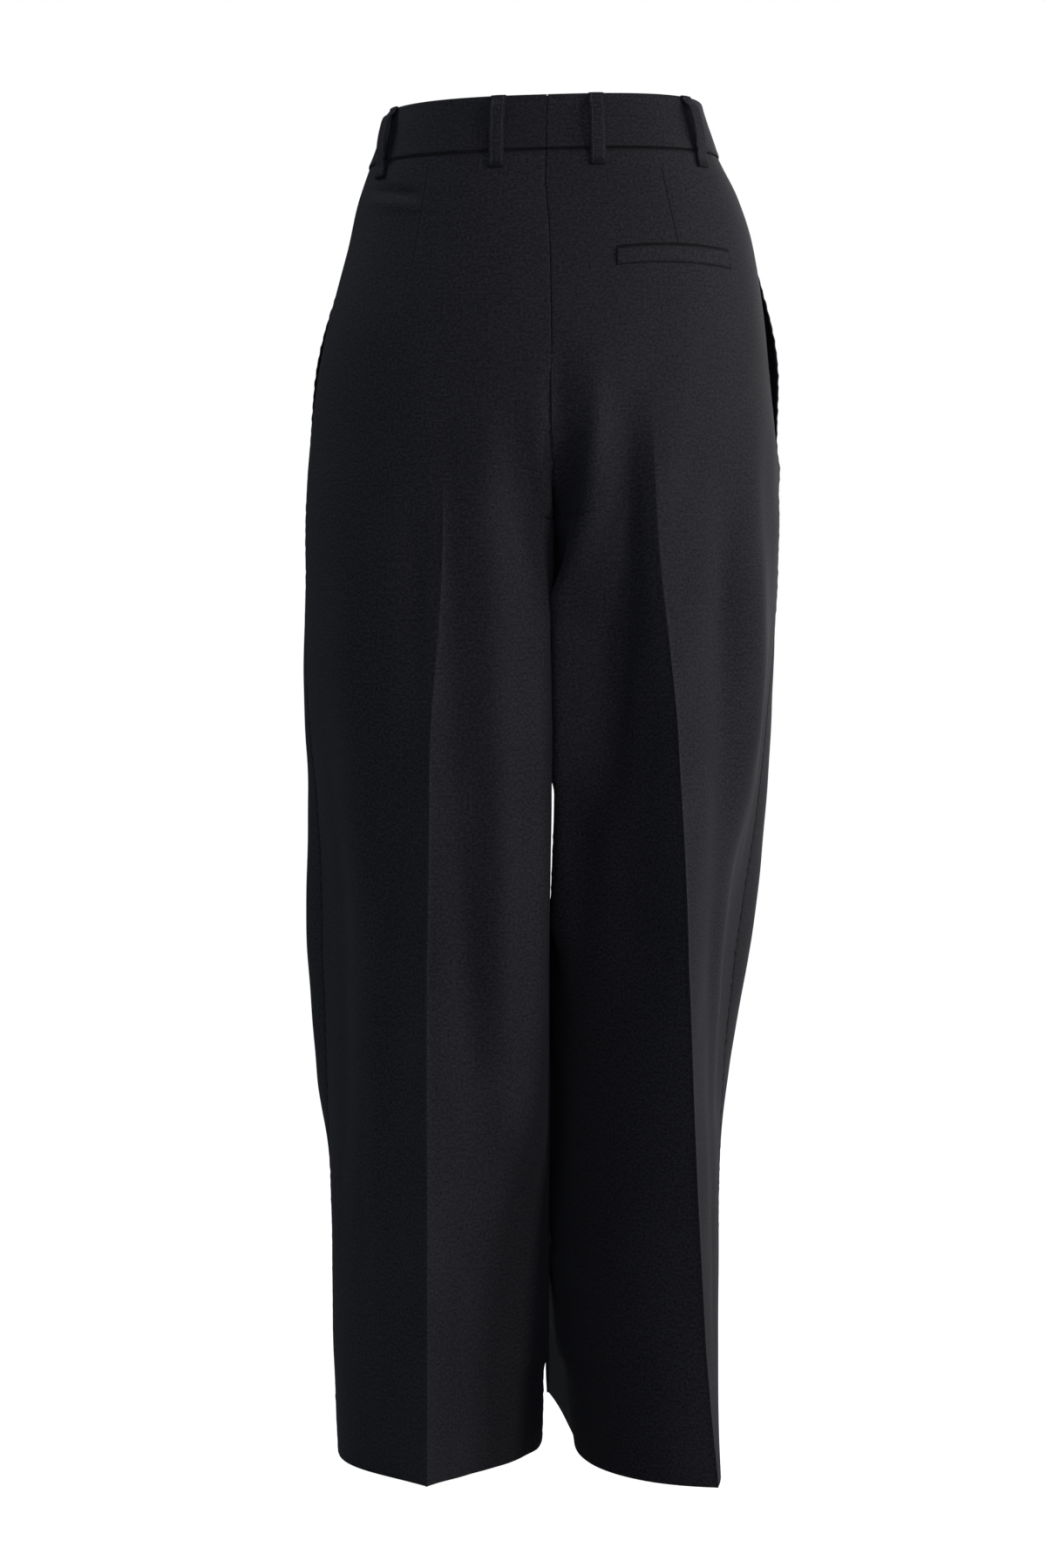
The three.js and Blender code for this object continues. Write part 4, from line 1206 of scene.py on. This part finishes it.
class TROUSERS_OT_belt_loops(bpy.types.Operator):
    """Builds six stitched belt loops that stand off the waistband"""

    bl_idname = "trousers.belt_loops"
    bl_label = "Belt loops"

    def execute(self, context):
        sewing = []
        for row in LOOPS:
            sewing += self.loop(*row)
        obj = stitches("belt_loop_stitching", sewing, cloth().thread_radius / MM)
        finished(obj, [])
        return {"FINISHED"}

    def loop(self, name, side, top, low, front):
        path = np.array(LOOP_PATH, float)
        heights = path[:, 0]
        z = np.concatenate([[21.6, 21.3, 20.8, 20], np.linspace(19, -34, 54), [-35, -35.8, -36.2, -36.5]])
        down = (heights[0] - z) / (heights[0] - heights[-1])
        table = Table(("z", "lift", "thick"), LOOP_PATH)
        lift, thick = table.at("lift", z), table.at("thick", z)
        across = mix(top, low, down)
        use_band = z > SEAM_Z
        middle = np.where(
            use_band,
            round_at(band_face, side, across, np.maximum(z, SEAM_Z), front),
            round_at(plain_body, side, across, np.minimum(z, SEAM_Z - GAP), front),
        )
        half = LOOP_WIDTH / 2
        offsets = np.array([-1, -0.97, -0.88, -0.7, -0.35, 0, 0.35, 0.7, 0.88, 0.97, 1]) * half
        face, back = self.sides(side, z, middle, offsets, lift, thick, use_band)
        uv = np.stack(np.broadcast_arrays(offsets[None, :] + 900.0, z[:, None] + 700.0), -1)
        obj = shell(f"{name}_cloth", face, back, uv, wool(cloth()))
        finished(obj, [name])
        # Painted shade along both edges of the loop and over its folded-under lower end.
        edge = 0.85 * bell(half - np.abs(offsets), 0.55)
        low_fold_painted_shade = 0.65 * smooth((-31.5 - z) / 1.5)
        seam_shade(obj, np.maximum(edge[None, :], low_fold_painted_shade[:, None]))
        return self.sewing(face, z, offsets)

    def sides(self, side, z, middle, offsets, lift, thick, use_band):
        def at(u_off, distance):
            zb, zp = np.maximum(z, SEAM_Z), np.minimum(z, SEAM_Z - GAP)
            speed = np.linalg.norm(
                band_face(side, middle + 0.01, zb) - band_face(side, middle - 0.01, zb), axis=-1
            )
            u = middle + u_off * 0.02 / speed
            on_band = lifted(band_face, side, u, zb, distance)
            on_panel = lifted(plain_body, side, u, zp, distance)
            on_panel[..., 2] += z - zp
            blend = smooth((SEAM_Z + 3 - z) / 6)[..., None]
            on_band[..., 2] += z - zb
            return mix(on_band, on_panel, blend)

        edge = 1 - np.abs(offsets) / offsets.max()
        rounding = 0.55 * np.exp(-((edge / 0.07) ** 2))
        groove = 0.16 * bell(np.abs(offsets) - 3.9, 0.6)
        crown = 0.25 * (1 - (offsets / offsets.max()) ** 2)
        ends = 0.6 * (np.exp(-(((21.6 - z) / 0.5) ** 2)) + np.exp(-(((z + 36.5) / 0.5) ** 2)))
        face = np.stack([
            at(o, lift + thick + c - r - g - ends)
            for o, r, g, c in zip(offsets, rounding, groove, crown)
        ], 1)
        back = np.stack([
            at(o, np.minimum(lift + r * 0.6 + ends * 0.3, lift + thick * 0.5))
            for o, r in zip(offsets, rounding)
        ], 1)
        return face, back

    def sewing(self, face, z, offsets):
        normals = np.cross(np.gradient(face, axis=1), np.gradient(face, axis=0))
        normals /= np.linalg.norm(normals, axis=-1, keepdims=True)
        centre = np.array([0, 0, -10.0])
        if ((face[10, 5] - centre) * normals[10, 5]).sum() < 0:
            normals = -normals
        made = []
        length = cloth().stitch_length / MM
        keep = (z < 20.5) & (z > -35.5)
        for column in (3, 7):
            toward = 4 if column == 3 else 6
            path = mix(face[:, column], face[:, toward], 0.15)[keep]
            made += stitch_points(path, normals[keep, column], length)
        for height in (18.3,):
            row = int(np.argmin(np.abs(z - height)))
            made += stitch_points(face[row, 2:9], normals[row, 2:9], 1.1, 0.05)
        return made


class TROUSERS_OT_back_pocket(bpy.types.Operator):
    """Builds the right back pocket's welt, with a near-black strip above it as the painted shadow of its mouth"""

    bl_idname = "trousers.back_pocket"
    bl_label = "Back pocket"

    def execute(self, context):
        ends = round_at(body, "right", np.array([WELT["from"], WELT["to"]]), WELT["top"], False)
        spread = np.linspace(0, 1, 81)
        edge = np.array([0, 0.002, 0.006, 0.012])
        share = np.concatenate([edge, spread[1:-1], 1 - edge[::-1]])
        u = mix(ends[0], ends[1], share)
        down = np.concatenate([[0, 0.3, 0.7, 1.3], np.linspace(2, 12, 12), [12.7, 13.3, 13.7, 14]])
        sag = WELT["sag"] * (2 * share - 1) ** 2
        dd, uu = np.meshgrid(down, u, indexing="ij")
        zz = WELT["top"] - dd - sag[None, :]
        width = WELT["to"] - WELT["from"]
        from_rim = np.minimum(dd, WELT["height"] - dd)
        from_end = np.minimum(share, 1 - share)[None, :] * width
        crown = 0.5 * np.sin(math.pi * dd / WELT["height"]) ** 0.7
        fall = 0.7 * np.exp(-((from_rim / 0.5) ** 2)) + 0.6 * np.exp(-((from_end / 0.5) ** 2))
        sink = 0.55 * smooth((dd - 11) / 3)
        out = 1.35 + crown - np.minimum(fall, 0.95) - sink
        face = lifted(body, "right", uu, zz, np.maximum(out, 0.5))
        back = lifted(body, "right", uu, zz, np.full(uu.shape, 0.25))
        uv = np.stack([share[None, :] * width * np.ones_like(dd) + 300.0, dd + 820.0], -1)
        obj = shell("back_pocket_welt_cloth", face, back, uv, wool(cloth()))
        finished(obj, ["back_pocket_welt"])
        # Painted shadow along the welt's top edge below the pocket's mouth, and painted shade along its lower edge and
        # both ends.
        lines = [bell(dd, 1.5), 0.95 * bell(WELT["height"] - dd, 0.95)]
        ends = [0.9 * bell(share * width, 0.9), bell((1 - share) * width, 1.7)]
        lines += [end[None, :] + 0 * dd for end in ends]
        seam_shade(obj, np.maximum.reduce(lines))
        self.mouth(u, share, sag)
        return {"FINISHED"}

    # A near-black strip just above the welt: painted shadow in the pocket's mouth.
    def mouth(self, u, share, sag):
        down = np.array([-1.5, -1.1, -0.6, -0.1, 0.4])
        dd, uu = np.meshgrid(down, u, indexing="ij")
        zz = WELT["top"] - dd - sag[None, :]
        face = lifted(body, "right", uu, zz, 0.22 - 0.2 * np.abs(dd + 0.5) / 1.0)
        back = lifted(body, "right", uu, zz, np.full(uu.shape, -0.3))
        uv = np.stack([share[None, :] * 90 * np.ones_like(dd), dd], -1)
        dark = plain_dark("pocket_mouth", (0.0012, 0.0012, 0.0014), 0.95)
        finished(shell("back_pocket_mouth", face, back, uv, dark), [])


class TROUSERS_OT_side_pockets(bpy.types.Operator):
    """Builds the facings behind the two side pocket mouths"""

    bl_idname = "trousers.side_pockets"
    bl_label = "Side pockets"

    def execute(self, context):
        for side in ("left", "right"):
            z = np.linspace(-86, -281, 60)
            u = np.linspace(OUTSEAM - 0.12, OUTSEAM + 0.62, 40)
            uu, zz = np.meshgrid(u, z)
            face = lifted(body, side, uu, zz, np.full(uu.shape, -2.35))
            back = lifted(body, side, uu, zz, np.full(uu.shape, -3.3))
            uv = np.stack([(uu - OUTSEAM) * 110, zz], -1)
            lining = plain_dark("pocketing_cloth", (0.004, 0.004, 0.005), 0.9, 1300.0)
            obj = shell(f"side_pocket_facing_{side}_cloth", face, back, uv, lining)
            finished(obj, [f"side_pocket_facing_{side}"])
        return {"FINISHED"}


class TROUSERS_OT_fly(bpy.types.Operator):
    """Builds the fly's turned edge with its curved stitching, and the shield behind it"""

    bl_idname = "trousers.fly"
    bl_label = "Fly"

    def execute(self, context):
        self.placket()
        self.shield()
        return {"FINISHED"}

    def width(self, z):
        into = np.clip((FLY["bottom"] + FLY["curve"] - z) / FLY["curve"], 0, 1)
        return FLY["width"] * np.maximum(0.12, np.sqrt(1 - into * into))

    def placket(self):
        z = np.concatenate([
            [SEAM_Z - GAP, -22.9, -24], np.linspace(-26, FLY["bottom"] + 3, 64), FLY["bottom"] + np.array([1.6, 0.6, 0])
        ])
        share = np.concatenate([[0, 0.01, 0.03], np.linspace(0.06, 0.9, 16), [0.93, 0.96, 0.98, 1]])
        edge = round_at(body, "right", self.width(z), z, True)
        start = round_at(body, "right", np.full(z.shape, 0.35), z, True)
        u = mix(start[:, None], edge[:, None], share[None, :])
        zz = np.broadcast_to(z[:, None], u.shape)
        width = self.width(z)[:, None]
        from_rim = np.minimum(share[None, :], 1 - share[None, :]) * width
        fall = 0.5 * np.exp(-((from_rim / 0.6) ** 2)) + 0.4 * np.exp(-((zz - FLY["bottom"]) / 0.8) ** 2)
        groove = 0.18 * np.exp(-(((width * (1 - share[None, :]) - 3) / 0.6) ** 2))
        out = np.maximum(1.15 - np.minimum(fall, 0.8) - groove, 0.4)
        face = kept_to_side(lifted(body, "right", u, zz, out), "right", zz)
        back = kept_to_side(lifted(body, "right", u, zz, np.full(u.shape, 0.25)), "right", zz)
        uv = np.stack([-width * share[None, :] + 500.0, zz + 1300.0], -1)
        obj = shell("fly_placket_cloth", face, back, uv, wool(cloth()))
        finished(obj, ["fly_placket"])
        column = int(np.argmin(np.abs(share - 0.9)))
        path = face[2:, column]
        normals = outward(body, "right", u[2:, column], z[2:])
        sewing = stitches(
            "fly_stitching", stitch_points(path, normals, cloth().stitch_length / MM),
            cloth().thread_radius / MM,
        )
        finished(sewing, [])

    def shield(self):
        z = np.linspace(SEAM_Z - 3, SHIELD["bottom"], 40)
        across = np.linspace(-SHIELD["half_width"], SHIELD["half_width"], 31)
        rows = []
        for distance in (-2.2, -3.3):
            columns = []
            for x in across:
                side = "right" if x < 0 else "left"
                u = round_at(body, side, np.full(z.shape, max(GAP, abs(x))), z, True)
                p = lifted(body, side, u, z, np.full(z.shape, distance))
                if x == 0:
                    p[..., 0] = SWAY.at("across", z)
                columns.append(p)
            rows.append(np.stack(columns, 1))
        uv = np.stack(np.meshgrid(across, z), -1)
        lining = plain_dark("pocketing_cloth", (0.004, 0.004, 0.005), 0.9, 1300.0)
        obj = shell("fly_shield_cloth", rows[0], rows[1], uv, lining)
        finished(obj, ["fly_shield"])


class TROUSERS_OT_button(bpy.types.Operator):
    """Builds the waistband's four-hole button with its thread, and the buttonhole's stitching"""

    bl_idname = "trousers.button"
    bl_label = "Button"

    def execute(self, context):
        u = 2 * ROUND - round_at(band_face, "left", BUTTON["across"], 0, True)
        z = np.array(0.0)
        seat = BAND_OVERLAP["step"] + GAP + 0.1
        point = lifted(band_face, "right", u, z, seat)
        normal = outward(band_face, "right", u, z)
        rotation = Vector(normal).to_track_quat("Z", "Y").to_matrix().to_4x4()
        matrix = Matrix.Translation(Vector(point) * MM) @ rotation
        button = self.disc(context)
        button.data.transform(matrix)
        button.data.materials.append(plain_dark("button_resin", (0.006, 0.006, 0.007), 0.32, 260.0, 0.00002))
        finished(button, ["waistband_button"])
        self.thread(matrix)
        self.hole(u)
        return {"FINISHED"}

    def disc(self, context):
        """A disc with a raised rim and four holes, modelled at the origin."""
        bpy.ops.object.select_all(action="DESELECT")
        radius, thick = BUTTON["radius"] * MM, BUTTON["thick"] * MM
        bpy.ops.mesh.primitive_cylinder_add(vertices=64, radius=radius, depth=thick, location=(0, 0, thick / 2))
        disc = context.object
        disc.name = "waistband_button_disc"
        disc.data.name = disc.name
        bpy.ops.object.transform_apply(location=True, rotation=True, scale=True)
        bpy.ops.object.mode_set(mode="EDIT")
        bpy.ops.mesh.select_mode(type="FACE")
        bpy.ops.mesh.select_all(action="DESELECT")
        bpy.ops.object.mode_set(mode="OBJECT")
        for face in disc.data.polygons:
            face.select = face.normal.z > 0.9
        bpy.ops.object.mode_set(mode="EDIT")
        bpy.ops.mesh.inset(thickness=radius * 0.22, depth=0)
        bpy.ops.mesh.inset(thickness=radius * 0.08, depth=-thick * 0.25)
        bpy.ops.object.mode_set(mode="OBJECT")
        cutters = []
        half = BUTTON["hole_spacing"] * MM / 2
        for x in (-half, half):
            for y in (-half, half):
                bpy.ops.mesh.primitive_cylinder_add(
                    vertices=20, radius=BUTTON["hole_radius"] * MM, depth=thick * 4, location=(x, y, 0)
                )
                cutters.append(context.object)
        bevel = disc.modifiers.new("rim", "BEVEL")
        bevel.width, bevel.segments, bevel.limit_method = 0.0004, 3, "ANGLE"
        for cutter in cutters:
            cut = disc.modifiers.new("hole", "BOOLEAN")
            cut.object, cut.operation, cut.solver = cutter, "DIFFERENCE", "EXACT"
        bpy.ops.object.select_all(action="DESELECT")
        disc.select_set(True)
        context.view_layer.objects.active = disc
        for modifier in list(disc.modifiers):
            bpy.ops.object.modifier_apply(modifier=modifier.name)
        for cutter in cutters:
            bpy.data.objects.remove(cutter)
        bpy.ops.object.shade_smooth_by_angle(angle=math.radians(35))
        return disc

    def thread(self, matrix):
        half = BUTTON["hole_spacing"] / 2
        height = BUTTON["thick"] * 0.8
        pairs = []
        for offset in (-0.28, 0.28):
            pairs += [((-half, -half + offset), (half, -half + offset)), ((-half, half + offset), (half, half + offset))]
        pieces = []
        turn = matrix.to_3x3()
        up = np.array(turn @ Vector((0, 0, 1)))
        for a, b in pairs:
            ends = [np.array(matrix @ Vector((x * MM, y * MM, height * MM))) / MM for x, y in (a, b)]
            pieces.append((ends[0], ends[1], up))
        finished(stitches("button_thread", pieces, 0.32), [])

    def hole(self, u):
        """The buttonhole's close stitching, on the band beside the button."""
        angle = np.linspace(0, 2 * math.pi, 73)
        along, high = 9.5 * np.cos(angle), 1.6 * np.sin(angle)
        speed = np.linalg.norm(band_face("right", u + 0.01, 0.0) - band_face("right", u - 0.01, 0.0)) / 0.02
        uu = u - (along + 4) / speed
        seat = BAND_OVERLAP["step"] + 0.2
        inner = lifted(band_face, "right", uu, high, np.full(uu.shape, seat))
        outer = lifted(band_face, "right", u - (along * 1.12 + 4) / speed, high * 1.9, np.full(uu.shape, seat))
        normals = outward(band_face, "right", uu, high)
        pieces = [(inner[i], outer[i], normals[i]) for i in range(len(angle) - 1)]
        finished(stitches("buttonhole_stitching", pieces, 0.24), [])


class TROUSERS_OT_stage(bpy.types.Operator):
    """Sets the floor, the soft studio light and the photograph's camera"""

    bl_idname = "trousers.stage"
    bl_label = "Stage"

    def execute(self, context):
        settings = context.scene.trousers_stage
        self.floor()
        self.lights(settings)
        self.camera(context, settings)
        return {"FINISHED"}

    def floor(self):
        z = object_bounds()[0].z - FLOOR_CLEARANCE
        bpy.ops.mesh.primitive_plane_add(size=60, location=(0, 0, z))
        floor = bpy.context.object
        floor.name = "studio_floor"
        material = bpy.data.materials.new("pale_floor")
        material.use_nodes = True
        shader = material.node_tree.nodes["Principled BSDF"]
        n = Nodes(material.node_tree)
        grain = n.noise(n.add("ShaderNodeTexCoord").outputs["Object"], 3.0, 2, 0.5)
        n.join(n.blend(grain, (0.38, 0.38, 0.38, 1), (0.42, 0.42, 0.42, 1)), shader.inputs["Base Color"])
        seen = n.math("MULTIPLY", n.add("ShaderNodeLightPath").outputs["Is Camera Ray"], FLOOR_GLOW)
        n.join(seen, shader.inputs["Emission Strength"])
        shader.inputs["Emission Color"].default_value = (1, 1, 1, 1)
        shader.inputs["Roughness"].default_value = 0.9
        shader.inputs["Specular IOR Level"].default_value = 0.1
        floor.data.materials.append(material)
        floor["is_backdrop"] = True

    def lamp(self, settings, name, turn, rise, size, power, colour):
        """A soft lamp that the camera doesn't see, aimed at the middle of the trousers."""
        light = bpy.data.lights.new(name, "AREA")
        light.energy, light.color = power * settings.light, colour
        light.shape, light.size, light.size_y = "RECTANGLE", size[0], size[1]
        lamp = bpy.data.objects.new(name, light)
        bpy.context.scene.collection.objects.link(lamp)
        a, e = math.radians(turn), math.radians(rise)
        towards = Vector((-math.sin(a) * math.cos(e), math.cos(a) * math.cos(e), math.sin(e)))
        lamp.location = Vector((0, 0, LAMP_AIM)) + settings.lamp_distance * towards
        lamp.rotation_euler = towards.to_track_quat("Z", "Y").to_euler()
        lamp.visible_camera = False

    def lights(self, settings):
        for row in LAMPS:
            self.lamp(settings, *row)
        world = bpy.data.worlds.new("studio_white")
        bpy.context.scene.world = world
        world.use_nodes = True
        tree = world.node_tree
        n = Nodes(tree)
        for node in list(tree.nodes):
            tree.nodes.remove(node)
        seen = n.add("ShaderNodeBackground")
        seen.inputs["Strength"].default_value = 1.0
        seen.inputs["Color"].default_value = (1, 1, 1, 1)
        light = n.add("ShaderNodeBackground")
        light.inputs["Color"].default_value = (0.97, 0.98, 1, 1)
        light.inputs["Strength"].default_value = settings.ambient
        both = n.add("ShaderNodeMixShader")
        n.join(n.add("ShaderNodeLightPath").outputs["Is Camera Ray"], both.inputs[0])
        n.join(light.outputs[0], both.inputs[1])
        n.join(seen.outputs[0], both.inputs[2])
        n.join(both.outputs[0], n.add("ShaderNodeOutputWorld").inputs[0])
        bpy.context.scene.view_settings.view_transform = "Standard"

    def camera(self, context, settings):
        data = bpy.data.cameras.new("photo_camera")
        data.sensor_width, data.sensor_fit = 36, "AUTO"
        data.lens = settings.lens
        width, height, midline, horizon = 1200, 1798, 629, 820
        data.shift_x = -(midline - width / 2) / height
        data.shift_y = (horizon - height / 2) / height
        camera = bpy.data.objects.new("photo_camera", data)
        context.scene.collection.objects.link(camera)
        camera.location = (0, settings.distance, settings.height)
        camera.rotation_euler = (math.radians(90), 0, math.radians(180))
        context.scene.camera = camera


class TROUSERS_PT_panel(bpy.types.Panel):
    """Sizes, colours and the steps that build the trousers"""

    bl_idname = "TROUSERS_PT_panel"
    bl_label = "Trousers"
    bl_space_type = "VIEW_3D"
    bl_region_type = "UI"
    bl_category = "Trousers"

    def draw(self, context):
        column = self.layout.column(align=True)
        for step in STEPS:
            column.operator(step.bl_idname)
        for group in (context.scene.trousers_cloth, context.scene.trousers_stage):
            box = self.layout.box()
            for key in group.bl_rna.properties.keys():
                if key not in ("rna_type", "name"):
                    box.prop(group, key)


STEPS = (
    TROUSERS_OT_leg_panels,
    TROUSERS_OT_seam_allowances,
    TROUSERS_OT_waistband,
    TROUSERS_OT_belt_loops,
    TROUSERS_OT_back_pocket,
    TROUSERS_OT_side_pockets,
    TROUSERS_OT_fly,
    TROUSERS_OT_button,
    TROUSERS_OT_stage,
)
CLASSES = (TrousersCloth, TrousersStage, *STEPS, TROUSERS_PT_panel)


def register():
    for cls in CLASSES:
        bpy.utils.register_class(cls)
    bpy.types.Scene.trousers_cloth = PointerProperty(type=TrousersCloth)
    bpy.types.Scene.trousers_stage = PointerProperty(type=TrousersStage)


def unregister():
    del bpy.types.Scene.trousers_stage
    del bpy.types.Scene.trousers_cloth
    for cls in reversed(CLASSES):
        bpy.utils.unregister_class(cls)


def main():
    register()
    bpy.ops.trousers.leg_panels()
    bpy.ops.trousers.seam_allowances()
    bpy.ops.trousers.waistband()
    bpy.ops.trousers.belt_loops()
    bpy.ops.trousers.back_pocket()
    bpy.ops.trousers.side_pockets()
    bpy.ops.trousers.fly()
    bpy.ops.trousers.button()
    bpy.ops.trousers.stage()


if __name__ == "__main__":
    main()
